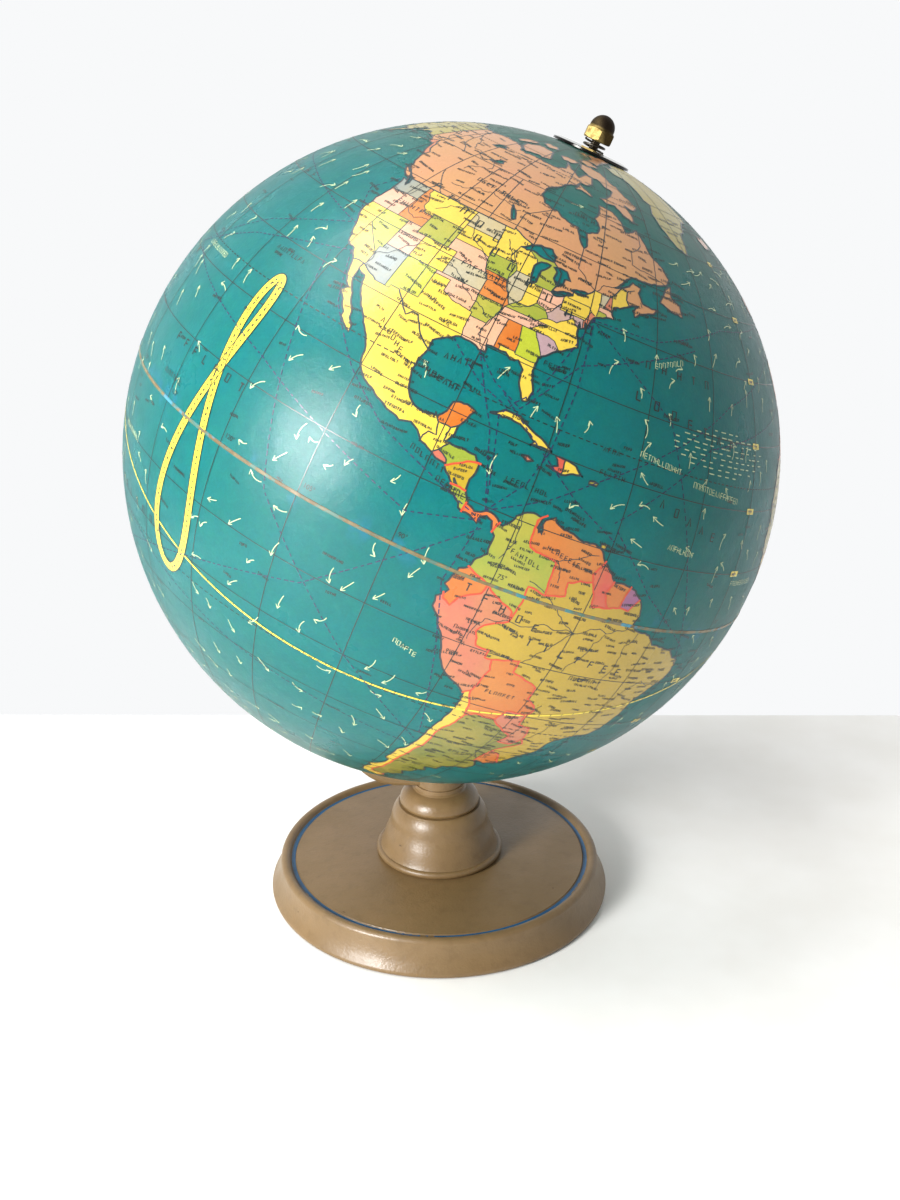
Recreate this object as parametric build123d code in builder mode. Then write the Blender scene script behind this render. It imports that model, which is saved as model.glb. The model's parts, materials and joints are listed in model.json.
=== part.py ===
"""Desktop globe on a tilted-axis stand.

A 12 inch ball of two pulpboard hemispheres, covered with 24 printed paper gores, spins on a
steel rod.  The rod leaves a cast arm at the south pole and carries an hour dial, a spring and
an acorn nut at the north pole.  The arm stands on a spun bell and a weighted, pressed dish.

Millimetres.  +Z is up, and the origin is on the stand's centre line at the table.  The axis
leans towards +X, and longitude 82.5 west faces -Y.
"""

import os
from math import asin, cos, degrees, radians, sin, sqrt

from build123d import *

# Ball
ball_radius = 152.4  # 12 inch ball, over the paper
axis_tilt = 23.5  # lean of the polar axis from upright, degrees
ball_offset = 5.5  # ball centre ahead of the post, towards the lean
ball_height = 230.3  # ball centre above the table
map_turn = -7.5  # where Greenwich stands about the axis, degrees from +X
gore_count = 12  # paper gores round each hemisphere
paper = 0.3  # gore thickness, with paste and varnish
paste_gap = 0.02  # keeps glued layers from sharing a face
board = 2.4  # pulpboard hemisphere wall
hoop_width, hoop_wall = 14.0, 2.4
tape_width, tape_wall = 2.4, 0.18
pole_hole = 9.0  # hole in paper and board that the pole bush fills

# Polar axis hardware
rod_radius = 2.4  # 3/16 inch rod
stub_radius = 2.05  # number 8 screw thread at both ends
thread_pitch, thread_depth = 0.8, 0.22
running_gap = 0.05
bush_radius, bush_flange, bush_length = 5.0, 8.7, 15.0
block_radius, block_depth = 24.0, 12.0
washer_radius, washer_thickness = 7.5, 1.6
face_gap = 0.12  # end play between faces that turn on each other
dial_radius, dial_thickness = 18.0, 0.8
dial_flat_radius, dial_lip_radius = 15.0, 17.2  # edge of the dial's flat, inside of its turned lip
coil_radius, coil_wire, coil_height, coil_turns = 4.7, 0.45, 3.9, 1.5
nut_flats, nut_hex_height, nut_dome_radius, nut_dome_height = 12.0, 5.2, 5.6, 6.0

# Stand
foot_radius = 89.4
pan_wall = 1.2
pan_top, pan_edge_top = 18.5, 16.6  # height of the dish by the bell and by the rim
groove_radius, groove_half_width, groove_depth = 77.8, 1.5, 1.0
rim_crest_radius, rim_crest_height = 81.7, 18.3
shoulder_radius, shoulder_height = 84.4, 15.6
felt_radius, felt_thickness = 84.0, 1.6
pan_lift = 0.7  # rolled foot of the dish stands this far above the table
cover_radius, cover_thickness = 86.6, 2.5
weight_radius, weight_hollow, weight_thickness = 72.0, 16.0, 9.0
bell_foot_radius, bell_foot_height = 31.8, 22.3
bell_top_height, bell_wall = 46.6, 1.1
collar_radius, neck_radius, neck_height = 20.8, 13.2, 58.6
tube_radius, tube_wall = 7.5, 1.5
bolt_radius, bolt_head_flats, bolt_head_height = 3.95, 13.0, 5.3
plate_washer_radius, plate_washer_thickness = 15.0, 1.6

# Arm
arm_width, arm_depth, arm_hub_radius = 16.0, 8.0, 12.6
arm_straight, arm_bend_radius, arm_rise = 22.0, 25.3, 45.0
arm_edge = 2.4
boss_radius, boss_length = 8.0, 7.5
jam_flats, jam_height = 9.5, 3.5

# Ball frame: origin at the ball's centre, local Z along the polar axis
tilt = radians(axis_tilt)
ball_centre = Vector(ball_offset, 0, ball_height)
polar = Vector(sin(tilt), 0, cos(tilt))
globe_frame = Plane(origin=ball_centre, x_dir=(cos(tilt), 0, -sin(tilt)), z_dir=polar)
globe_axis = Axis(ball_centre, polar)
post_axis = Axis.Z
half_section = Plane.XZ  # local X is the radius and local Y the height


def meridian(longitude):
    """Plane through the polar axis: local X points out at this longitude, local Y north."""
    east = radians(longitude + map_turn)
    out = globe_frame.x_dir * cos(east) + globe_frame.y_dir * sin(east)
    return Plane(origin=ball_centre, x_dir=out, z_dir=out.cross(polar))


def across_axis(height):
    """Plane square to the polar axis, this far north of the ball's centre."""
    return globe_frame.offset(height)


def finish(piece, label):
    piece.part.label = label
    export_step(piece.part, f"parts/{label}.step")


os.makedirs("parts", exist_ok=True)

# --------------------------------------------------------------------------- ball skin
gore_span = 360 / gore_count
outer, inner = ball_radius, ball_radius - paper
pole_angle = degrees(asin(pole_hole / ball_radius))
seam_angle = degrees(asin(paste_gap / ball_radius))


def spherical_wall(start, outer_radius, inner_radius, low, high, turn=360):
    """Piece of a spherical wall: from latitude low to high, and turn degrees on from start."""
    with BuildPart() as wall:
        with BuildSketch(meridian(start)):
            with BuildLine():
                CenterArc((0, 0), outer_radius, low, high - low)
                CenterArc((0, 0), inner_radius, low, high - low)
                for angle in (low, high):
                    way = Vector(cos(radians(angle)), sin(radians(angle)))
                    Line(way * inner_radius, way * outer_radius)
            make_face()
        revolve(axis=globe_axis, revolution_arc=turn)
    return wall


shell_outer = inner - paste_gap
shell_inner = shell_outer - board
for hemisphere, low, high in (
    ("north", seam_angle, 90 - pole_angle),
    ("south", pole_angle - 90, -seam_angle),
):
    # A gore is one printed paper segment, pasted from the equator to the pole.
    for number in range(gore_count):
        west_edge = number * gore_span - 180
        gore = spherical_wall(west_edge, outer, inner, low, high, gore_span)
        finish(gore, f"gore_{hemisphere}_{number + 1:02d}")
    # The hemisphere under it is moulded pulpboard.
    finish(spherical_wall(0, shell_outer, shell_inner, low, high), f"{hemisphere}_shell")

# The hoop is glued inside the joint of the two hemispheres.
hoop_outer = shell_inner - paste_gap
hoop_inner = hoop_outer - hoop_wall
hoop_latitude = degrees(asin(hoop_width / 2 / hoop_outer))
finish(spherical_wall(0, hoop_outer, hoop_inner, -hoop_latitude, hoop_latitude), "equator_hoop")

# The tape covers the joint of the north and south gores.
tape_inner = outer + paste_gap
tape_latitude = degrees(asin(tape_width / 2 / ball_radius))
tape = spherical_wall(0, tape_inner + tape_wall, tape_inner, -tape_latitude, tape_latitude)
finish(tape, "equator_tape")

# --------------------------------------------------------------------------- poles
block_face = sqrt(hoop_outer**2 - block_radius**2)
bush_seat = shell_inner - 1.0
for end, side in (("north", 1), ("south", -1)):
    # A turned wooden block is glued inside each pole and holds the bush.
    with BuildPart() as block:
        with BuildSketch(meridian(0)):
            with BuildLine():
                seat_radius = pole_hole + 0.5
                seat_edge = (seat_radius, side * bush_seat)
                crown = (seat_radius, side * sqrt(hoop_outer**2 - seat_radius**2))
                rim = (block_radius, side * block_face)
                RadiusArc(crown, rim, hoop_outer * side)
                Polyline(
                    rim,
                    (block_radius, side * (block_face - block_depth)),
                    (bush_radius + paste_gap, side * (block_face - block_depth)),
                    (bush_radius + paste_gap, side * bush_seat),
                    seat_edge,
                    crown,
                )
            make_face()
        revolve(axis=globe_axis)
    finish(block, f"{end}_pole_block")

    # The flanged steel bush fills the hole in the skin and runs on the rod.
    with BuildPart() as bush:
        with BuildSketch(across_axis(side * ball_radius)):
            Circle(bush_flange)
        extrude(amount=-side * (ball_radius - bush_seat - paste_gap))
        with BuildSketch(across_axis(side * (bush_seat + paste_gap))):
            Circle(bush_radius)
        extrude(amount=-side * (bush_length + paste_gap))
        with BuildSketch(across_axis(0)):
            Circle(rod_radius + running_gap)
        extrude(amount=side * (ball_radius + 1), mode=Mode.SUBTRACT)
    finish(bush, f"{end}_bush")

# --------------------------------------------------------------------------- rod and finial
dial_bottom = ball_radius + face_gap
dial_top = dial_bottom + dial_thickness
nut_bottom = dial_top + coil_height + 2 * face_gap
nut_bore_depth = nut_hex_height + 1.5
stub_top = nut_bottom + nut_bore_depth - 1.0
washer_top = -(ball_radius + face_gap)
boss_top = washer_top - washer_thickness - paste_gap
boss_bottom = boss_top - boss_length
jam_bottom = boss_bottom - paste_gap - jam_height
stub_bottom = jam_bottom - 1.7

# The rod is shouldered: the smooth length carries the ball, and both ends are threaded.
with BuildPart() as rod:
    with BuildSketch(meridian(0)):
        with BuildLine():
            shoulder_low, shoulder_high = boss_top, dial_top + 0.3
            points = [(0, stub_bottom), (stub_radius - 0.4, stub_bottom), (stub_radius, stub_bottom + 0.4)]
            points += [(stub_radius, shoulder_low), (rod_radius, shoulder_low), (rod_radius, shoulder_high)]
            thread_count = int((stub_top - 0.6 - shoulder_high) / thread_pitch)
            for turn in range(thread_count):
                foot = shoulder_high + turn * thread_pitch
                points += [(stub_radius - thread_depth, foot), (stub_radius, foot + thread_pitch / 2)]
            points += [(stub_radius - thread_depth, stub_top), (0, stub_top)]
            Polyline(*points, close=True)
        make_face()
    revolve(axis=globe_axis)
finish(rod, "axis_rod")

# The jam nut locks the rod's lower end in the arm.
with BuildPart() as jam_nut:
    with BuildSketch(across_axis(jam_bottom)):
        RegularPolygon(jam_flats / 2, 6, major_radius=False)
        Circle(stub_radius + paste_gap, mode=Mode.SUBTRACT)
    extrude(amount=jam_height)
    chamfer(jam_nut.edges().filter_by(GeomType.LINE).group_by(SortBy.LENGTH)[-1], 0.4)
finish(jam_nut, "rod_jam_nut")

# The fibre thrust washer takes the ball's weight on the arm.
with BuildPart() as thrust_washer:
    with BuildSketch(across_axis(washer_top)):
        Circle(washer_radius)
        Circle(rod_radius + running_gap, mode=Mode.SUBTRACT)
    extrude(amount=-washer_thickness)
finish(thrust_washer, "thrust_washer")

# The hour dial is a thin plated disc that turns on the rod, with its edge turned down to the ball.
dial_bore = rod_radius + running_gap
with BuildPart() as dial:
    with BuildSketch(meridian(0)):
        with BuildLine():
            lip_bottom = sqrt(ball_radius**2 - dial_lip_radius**2) + face_gap
            Polyline(
                (dial_bore, dial_bottom),
                (dial_flat_radius, dial_bottom),
                (dial_lip_radius, lip_bottom),
                (dial_radius, lip_bottom),
                (dial_radius, lip_bottom + dial_thickness),
                (dial_radius - 0.2, lip_bottom + dial_thickness + 0.2),
                (dial_flat_radius + 0.3, dial_top),
                (dial_bore, dial_top),
                (dial_bore, dial_bottom),
            )
        make_face()
    revolve(axis=globe_axis)
finish(dial, "hour_dial")

# A short open coil presses the dial on the pole.
coil_start = ball_centre + polar * (dial_top + face_gap + coil_wire)
coil_rise = coil_height - 2 * coil_wire
with BuildPart() as coil:
    with BuildLine():
        wire = Helix(coil_rise / coil_turns, coil_rise, coil_radius, center=coil_start, direction=polar)
    with BuildSketch(Plane(origin=wire @ 0, z_dir=wire % 0)):
        Circle(coil_wire)
    sweep(path=wire, is_frenet=True)
finish(coil, "dial_spring")

# The acorn nut is a hexagon with a domed, blind end.
with BuildPart() as acorn:
    with BuildSketch(across_axis(nut_bottom)):
        RegularPolygon(nut_flats / 2, 6, major_radius=False, rotation=30)
    extrude(amount=nut_hex_height)
    with BuildSketch(meridian(0)):
        with BuildLine():
            cone = nut_flats / 2 / cos(radians(30))
            Polyline(
                (0, nut_bottom - 0.1),
                (nut_flats / 2 - 0.4, nut_bottom - 0.1),
                (cone, nut_bottom + 0.7),
                (cone, nut_bottom + nut_hex_height - 1.0),
                (nut_dome_radius, nut_bottom + nut_hex_height),
                (0, nut_bottom + nut_hex_height),
                close=True,
            )
        make_face()
    revolve(axis=globe_axis, mode=Mode.INTERSECT)
    with BuildSketch(meridian(0)):
        with BuildLine():
            dome_foot = nut_bottom + nut_hex_height - 0.2
            straight = nut_dome_height + 0.2 - nut_dome_radius
            Polyline((0, dome_foot), (nut_dome_radius, dome_foot), (nut_dome_radius, dome_foot + straight))
            CenterArc((0, dome_foot + straight), nut_dome_radius, 0, 90)
            Line((0, dome_foot + straight + nut_dome_radius), (0, dome_foot))
        make_face()
    revolve(axis=globe_axis)
    with BuildSketch(across_axis(nut_bottom)):
        Circle(stub_radius + paste_gap)
    extrude(amount=nut_bore_depth, mode=Mode.SUBTRACT)
finish(acorn, "acorn_nut")

# --------------------------------------------------------------------------- base
# The dish is one pressed sheet: crowned top, blue-lined groove, rolled rim, flared skirt.
bolt_hole = bolt_radius + 0.3
with BuildPart() as pan:
    with BuildSketch(half_section):
        with BuildLine():
            groove_in = (groove_radius - groove_half_width, pan_edge_top)
            groove_out = (groove_radius + groove_half_width, pan_edge_top)
            shoulder = (shoulder_radius, shoulder_height)
            skirt_foot = (foot_radius - 0.5, 3.4)
            crown_edge = (bell_foot_radius, pan_top)
            Line((bolt_hole, pan_top), crown_edge)
            ThreePointArc(crown_edge, (55, 17.9), groove_in)
            ThreePointArc(groove_in, (groove_radius, pan_edge_top - groove_depth), groove_out)
            ThreePointArc(groove_out, (rim_crest_radius, rim_crest_height), shoulder)
            ThreePointArc(shoulder, (85.9, 9.0), skirt_foot)
            ThreePointArc(skirt_foot, (foot_radius, 2.0), (foot_radius - 0.5, pan_lift))
            offset(amount=pan_wall, side=Side.RIGHT)
        make_face()
    revolve(axis=post_axis)
finish(pan, "base_pan")

# The felt is the foot that touches the table, glued under the cover board.
with BuildPart() as felt:
    with BuildSketch(Plane.XY):
        Circle(felt_radius)
    extrude(amount=felt_thickness)
finish(felt, "felt_pad")

with BuildPart() as cover:
    with BuildSketch(Plane.XY.offset(felt_thickness + paste_gap)):
        Circle(cover_radius)
    extrude(amount=cover_thickness)
finish(cover, "bottom_cover")

# The cast weight is clamped under the dish by the tie bolt.
weight_top = pan_top - pan_wall - 1.6
weight_bottom = weight_top - weight_thickness
with BuildPart() as weight:
    with BuildSketch(Plane.XY.offset(weight_bottom)):
        Circle(weight_radius)
    extrude(amount=weight_thickness)
    with BuildSketch(Plane.XY.offset(weight_top)):
        Circle(weight_hollow)
    extrude(amount=1.55)
    with BuildSketch(Plane.XY.offset(weight_bottom)):
        Circle(weight_hollow)
    extrude(amount=6.0, mode=Mode.SUBTRACT)
    Hole(bolt_hole)
    chamfer(weight.edges().filter_by(GeomType.CIRCLE).sort_by(SortBy.LENGTH)[-2:], 1.5)
finish(weight, "base_weight")

# --------------------------------------------------------------------------- post
# The ring is the half-round bead that seats the bell on the dish.
ring_bottom = pan_top + paste_gap
with BuildPart() as ring:
    with BuildSketch(half_section):
        with BuildLine():
            seat = bell_foot_height - paste_gap
            Polyline((31.4, seat), (27.5, seat), (27.5, ring_bottom), (31.4, ring_bottom))
            ThreePointArc((31.4, ring_bottom), (33.3, (ring_bottom + seat) / 2), (31.4, seat))
        make_face()
    revolve(axis=post_axis)
finish(ring, "bell_foot_ring")

# The bell is spun from sheet: flared wall, round shoulder, flat top under the collar.
with BuildPart() as bell:
    for inset, mode in ((0, Mode.ADD), (bell_wall, Mode.SUBTRACT)):
        with BuildSketch(half_section):
            with BuildLine():
                foot = (bell_foot_radius - 0.6 - inset, bell_foot_height)
                waist = (25.5 - inset, 38.5)
                crest = (21.6 - inset / 2, bell_top_height - inset)
                Spline(foot, (28.4 - inset, 30.0), waist, tangents=[(-0.6, 1.0), (-0.1, 1.0)])
                TangentArc(waist, crest, tangent=(-0.1, 1.0))
                Polyline(crest, (0, bell_top_height - inset), (0, bell_foot_height), foot)
            make_face()
        revolve(axis=post_axis, mode=mode)
    with BuildSketch(Plane.XY.offset(bell_foot_height)):
        Circle(bolt_hole)
    extrude(amount=bell_top_height - bell_foot_height, mode=Mode.SUBTRACT)
finish(bell, "bell_post")

# The collar domes from the bell up to the neck that the arm stands on.
with BuildPart() as collar:
    with BuildSketch(half_section):
        with BuildLine():
            low = bell_top_height + paste_gap
            dome_low = (collar_radius, low + 2.6)
            dome_high = (neck_radius + 0.9, low + 9.0)
            neck_top = (neck_radius, neck_height - paste_gap)
            ThreePointArc((collar_radius - 1.0, low), (collar_radius - 0.1, low + 1.1), dome_low)
            ThreePointArc(dome_low, (18.7, low + 6.5), dome_high)
            Polyline(
                dome_high,
                (neck_radius, low + 9.9),
                neck_top,
                (bolt_hole, neck_height - paste_gap),
                (bolt_hole, low),
                (collar_radius - 1.0, low),
            )
        make_face()
    revolve(axis=post_axis)
finish(collar, "neck_collar")

# The spacer tube inside the bell carries the clamping load of the tie bolt.
tube_bottom, tube_top = pan_top + paste_gap, bell_top_height - bell_wall - paste_gap
with BuildPart() as tube:
    with BuildSketch(Plane.XY.offset(tube_bottom)):
        Circle(tube_radius)
        Circle(tube_radius - tube_wall, mode=Mode.SUBTRACT)
    extrude(amount=tube_top - tube_bottom)
finish(tube, "spacer_tube")

# --------------------------------------------------------------------------- arm
hub_bottom = neck_height
hub_top = hub_bottom + arm_depth
pole_foot = globe_frame.origin + polar * boss_bottom
bolt_tip = hub_top - 1.5
with BuildPart() as arm:
    with BuildSketch(Plane.XZ.offset(-arm_width / 2)):
        with BuildLine():
            rise = radians(arm_rise)
            bend_end = Vector(
                -arm_straight - arm_bend_radius * sin(rise),
                hub_bottom + arm_bend_radius * (1 - cos(rise)),
            )
            top_radius = arm_bend_radius - arm_depth
            top_end = Vector(
                -arm_straight - top_radius * sin(rise),
                hub_top + top_radius * (1 - cos(rise)),
            )
            climb = Vector(-cos(rise), sin(rise))
            low_end, high_end = bend_end + climb * 20.5, top_end + climb * 17.5
            Line((0, hub_bottom), (-arm_straight, hub_bottom))
            RadiusArc((-arm_straight, hub_bottom), bend_end, arm_bend_radius)
            Polyline(bend_end, low_end, high_end, top_end)
            RadiusArc(top_end, (-arm_straight, hub_top), -top_radius)
            Polyline((-arm_straight, hub_top), (0, hub_top), (0, hub_bottom))
        make_face()
    extrude(amount=arm_width)
    fillet(arm.edges().filter_by(lambda edge: abs(abs(edge.center().Y) - arm_width / 2) < 0.01), arm_edge)
    with BuildSketch(Plane.XY.offset(hub_bottom)):
        Circle(arm_hub_radius)
    extrude(amount=arm_depth)
    with BuildSketch(across_axis(boss_bottom)):
        Circle(boss_radius)
    extrude(amount=boss_length)
    with BuildSketch(Plane.XY.offset(hub_bottom)):
        Circle(bolt_radius + paste_gap)
    extrude(amount=bolt_tip - hub_bottom + 0.5, mode=Mode.SUBTRACT)
    with BuildSketch(across_axis(boss_bottom)):
        Circle(stub_radius + paste_gap)
    extrude(amount=boss_length, both=True, mode=Mode.SUBTRACT)
finish(arm, "arm")

# --------------------------------------------------------------------------- tie bolt
# The bolt runs up from the weight's hollow and screws into the arm's hub.
washer_seat = weight_bottom + 6.0
with BuildPart() as plate_washer:
    with BuildSketch(Plane.XY.offset(washer_seat - paste_gap)):
        Circle(plate_washer_radius)
        Circle(bolt_hole, mode=Mode.SUBTRACT)
    extrude(amount=-plate_washer_thickness)
finish(plate_washer, "tie_bolt_washer")

head_top = washer_seat - 2 * paste_gap - plate_washer_thickness
head_height = min(bolt_head_height, head_top - felt_thickness - cover_thickness - 0.3)
with BuildPart() as bolt:
    with BuildSketch(Plane.XY.offset(head_top)):
        RegularPolygon(bolt_head_flats / 2, 6, major_radius=False)
    extrude(amount=-head_height)
    with BuildSketch(Plane.XY.offset(head_top)):
        Circle(bolt_radius)
    extrude(amount=bolt_tip - head_top)
    chamfer(bolt.faces().sort_by(Axis.Z)[-1].edges(), 0.6)
finish(bolt, "tie_bolt")
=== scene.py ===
import json
import random
from math import ceil, cos, degrees, pi, radians, sin

import bmesh
import bpy
from mathutils import Matrix, Vector
from mathutils.bvhtree import BVHTree
from mathutils.geometry import delaunay_2d_cdt


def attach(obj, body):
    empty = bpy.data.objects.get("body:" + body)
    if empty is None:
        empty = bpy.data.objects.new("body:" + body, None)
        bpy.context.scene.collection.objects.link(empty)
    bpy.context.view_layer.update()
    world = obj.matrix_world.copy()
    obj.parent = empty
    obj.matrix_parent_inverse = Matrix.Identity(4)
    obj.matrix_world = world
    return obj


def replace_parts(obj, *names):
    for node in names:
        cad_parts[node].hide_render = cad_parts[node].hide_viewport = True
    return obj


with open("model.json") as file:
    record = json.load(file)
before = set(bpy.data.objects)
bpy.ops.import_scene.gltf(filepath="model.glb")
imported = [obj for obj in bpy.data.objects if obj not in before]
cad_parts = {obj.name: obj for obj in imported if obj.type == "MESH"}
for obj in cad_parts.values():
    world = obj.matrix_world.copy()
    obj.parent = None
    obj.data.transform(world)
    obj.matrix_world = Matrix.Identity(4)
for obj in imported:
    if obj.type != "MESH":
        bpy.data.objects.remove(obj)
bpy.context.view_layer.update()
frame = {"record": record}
chance = random.Random(1957)


# --- Room -----------------------------------------------------------------------------
# A pale table top under soft daylight: one broad window to the left and above, a weak
# fill from the right, and a room that is brightest behind the globe.
def linear(colour):
    """sRGB hex to linear RGBA."""
    parts = [int(colour[i : i + 2], 16) / 255 for i in (1, 3, 5)]
    return [p / 12.92 if p <= 0.04045 else ((p + 0.055) / 1.055) ** 2.4 for p in parts] + [1.0]


def add_node(material, kind, settings=None, links=None):
    """Adds one shader node; settings name its sockets or fields, links name what feeds them."""
    tree = material.node_tree
    node = tree.nodes.new(kind)
    for key, value in (settings or {}).items():
        if isinstance(key, int) or key in node.inputs:
            node.inputs[key].default_value = value
        else:
            setattr(node, key, value)
    for key, source in (links or {}).items():
        tree.links.new(source, node.inputs[key])
    return node


def new_material(name, **surface):
    """A Principled material with these constant values, and the node itself."""
    material = bpy.data.materials.new(name)
    material.use_nodes = True
    shader = material.node_tree.nodes["Principled BSDF"]
    for key, value in surface.items():
        shader.inputs[key.replace("_", " ").title().replace("Ior", "IOR")].default_value = value
    return material, shader


def vein(material, scale_mm, detail=3.0, roughness=0.55, low=0.35, high=0.65):
    """Noise of this feature size in the object's own coordinates, spread to 0..1."""
    place = add_node(material, "ShaderNodeTexCoord")
    noise = add_node(
        material,
        "ShaderNodeTexNoise",
        {"Scale": 1000 / scale_mm, "Detail": detail, "Roughness": roughness},
        {"Vector": place.outputs["Object"]},
    )
    return add_node(
        material,
        "ShaderNodeMapRange",
        {"From Min": low, "From Max": high},
        {"Value": noise.outputs["Fac"]},
    ).outputs["Result"]


def tint(material, shader, base, patches):
    """Base colour varied by patches of (hex, amount, mask)."""
    colour = None
    for shade, amount, mask in patches:
        share = add_node(
            material, "ShaderNodeMath", {"operation": "MULTIPLY", 1: amount}, {0: mask}
        ).outputs[0]
        mix = add_node(material, "ShaderNodeMix", {"data_type": "RGBA"}, {0: share})
        mix.inputs[6].default_value = linear(base)
        mix.inputs[7].default_value = linear(shade)
        if colour is not None:
            material.node_tree.links.new(colour, mix.inputs[6])
        colour = mix.outputs[2]
    material.node_tree.links.new(colour, shader.inputs["Base Color"])


def vary(material, shader, socket, low, high, mask):
    """The socket runs from low to high with the mask."""
    spread = add_node(material, "ShaderNodeMapRange", {"To Min": low, "To Max": high}, {"Value": mask})
    material.node_tree.links.new(spread.outputs["Result"], shader.inputs[socket])


def relief(material, shader, layers):
    """Bump from layers of (height in mm, mask), chained."""
    normal = None
    for height_mm, mask in layers:
        links = {"Height": mask}
        if normal is not None:
            links["Normal"] = normal
        bump = add_node(material, "ShaderNodeBump", {"Distance": height_mm / 1000, "Strength": 1.0}, links)
        normal = bump.outputs["Normal"]
    material.node_tree.links.new(normal, shader.inputs["Normal"])
    if "Coat Normal" in shader.inputs:
        material.node_tree.links.new(normal, shader.inputs["Coat Normal"])


camera_data = bpy.data.cameras.new("camera")
camera_data.lens = 38.04
camera_data.sensor_width = 36
camera = bpy.data.objects.new("camera", camera_data)
bpy.context.collection.objects.link(camera)
camera_swing, camera_yaw, camera_pitch, camera_roll = 1.97, 0.5, 20.52, 0.24
camera_back, camera_height = 0.591, 0.3809
swing = Matrix.Rotation(radians(camera_swing), 4, "Z")
look = Matrix.Rotation(radians(-camera_yaw), 4, "Z") @ Matrix.Rotation(radians(90 - camera_pitch), 4, "X")
look = look @ Matrix.Rotation(radians(camera_roll), 4, "Z")
camera.matrix_world = swing @ Matrix.Translation((0, -camera_back, camera_height)) @ look
bpy.context.scene.camera = camera

# The table ends just behind the globe, at a bright wall that the background stands for.
table_width, table_front, table_back = 3.0, 2.4, 0.2
table = bmesh.new()
table_frame = swing @ Matrix.Translation((0, (table_back - table_front) / 2, 0))
table_frame = table_frame @ Matrix.Diagonal((table_width, table_front + table_back, 1, 1))
bmesh.ops.create_grid(table, x_segments=1, y_segments=1, size=0.5, matrix=table_frame)
table_mesh = bpy.data.meshes.new("table_top")
table.to_mesh(table_mesh)
table_top = bpy.data.objects.new("table_top", table_mesh)
bpy.context.collection.objects.link(table_top)
# Pale matt paint with the faintest grey clouds.
table_paint, table_shader = new_material("table_paint", roughness=0.5)
tint(table_paint, table_shader, "#f7f6f2", [("#eeece6", 0.6, vein(table_paint, 60.0))])
table_mesh.materials.append(table_paint)

# The room is brightest behind the globe and dim on the side of the camera.
world = bpy.data.worlds.new("room")
world.use_nodes = True
background = world.node_tree.nodes["Background"]
background.inputs["Color"].default_value = linear("#f8f9fa")
direction = add_node(world, "ShaderNodeTexCoord")
sides = add_node(world, "ShaderNodeSeparateXYZ", {}, {"Vector": direction.outputs["Generated"]})
room_dim, room_bright, dim_up_to, bright_from = 0.3, 1.0, -0.3, 0.45
glow = add_node(
    world,
    "ShaderNodeMapRange",
    {"From Min": dim_up_to, "From Max": bright_from, "To Min": room_dim, "To Max": room_bright},
    {"Value": sides.outputs["Y"]},
)
world.node_tree.links.new(glow.outputs["Result"], background.inputs["Strength"])
bpy.context.scene.world = world
bpy.context.scene.view_settings.view_transform = "Standard"


def window(name, place, aim, size, power):
    """A soft white rectangular light at place, turned to aim; sizes in metres, power in watts."""
    data = bpy.data.lights.new(name, "AREA")
    data.shape = "RECTANGLE"
    data.size, data.size_y = size
    data.energy = power
    lamp = bpy.data.objects.new(name, data)
    facing = (Vector(place) - Vector(aim)).to_track_quat("Z", "Y").to_matrix().to_4x4()
    lamp.matrix_world = Matrix.Translation(place) @ facing
    bpy.context.collection.objects.link(lamp)


# The window with one brighter pane in it, the sky overhead, and a faint glow from the right.
window("window_left", (-0.95, -1.0, 0.62), (0, 0, 0.22), (0.5, 0.7), 29.0)
window("window_pane", (-0.9, -0.95, 0.6), (0, 0, 0.22), (0.22, 0.3), 6.5)
window("skylight", (-0.6, -0.2, 1.6), (0, 0, 0.1), (0.8, 0.8), 15.0)
window("fill_right", (1.4, -0.9, 0.6), (0, 0, 0.2), (1.0, 1.0), 0.8)


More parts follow.
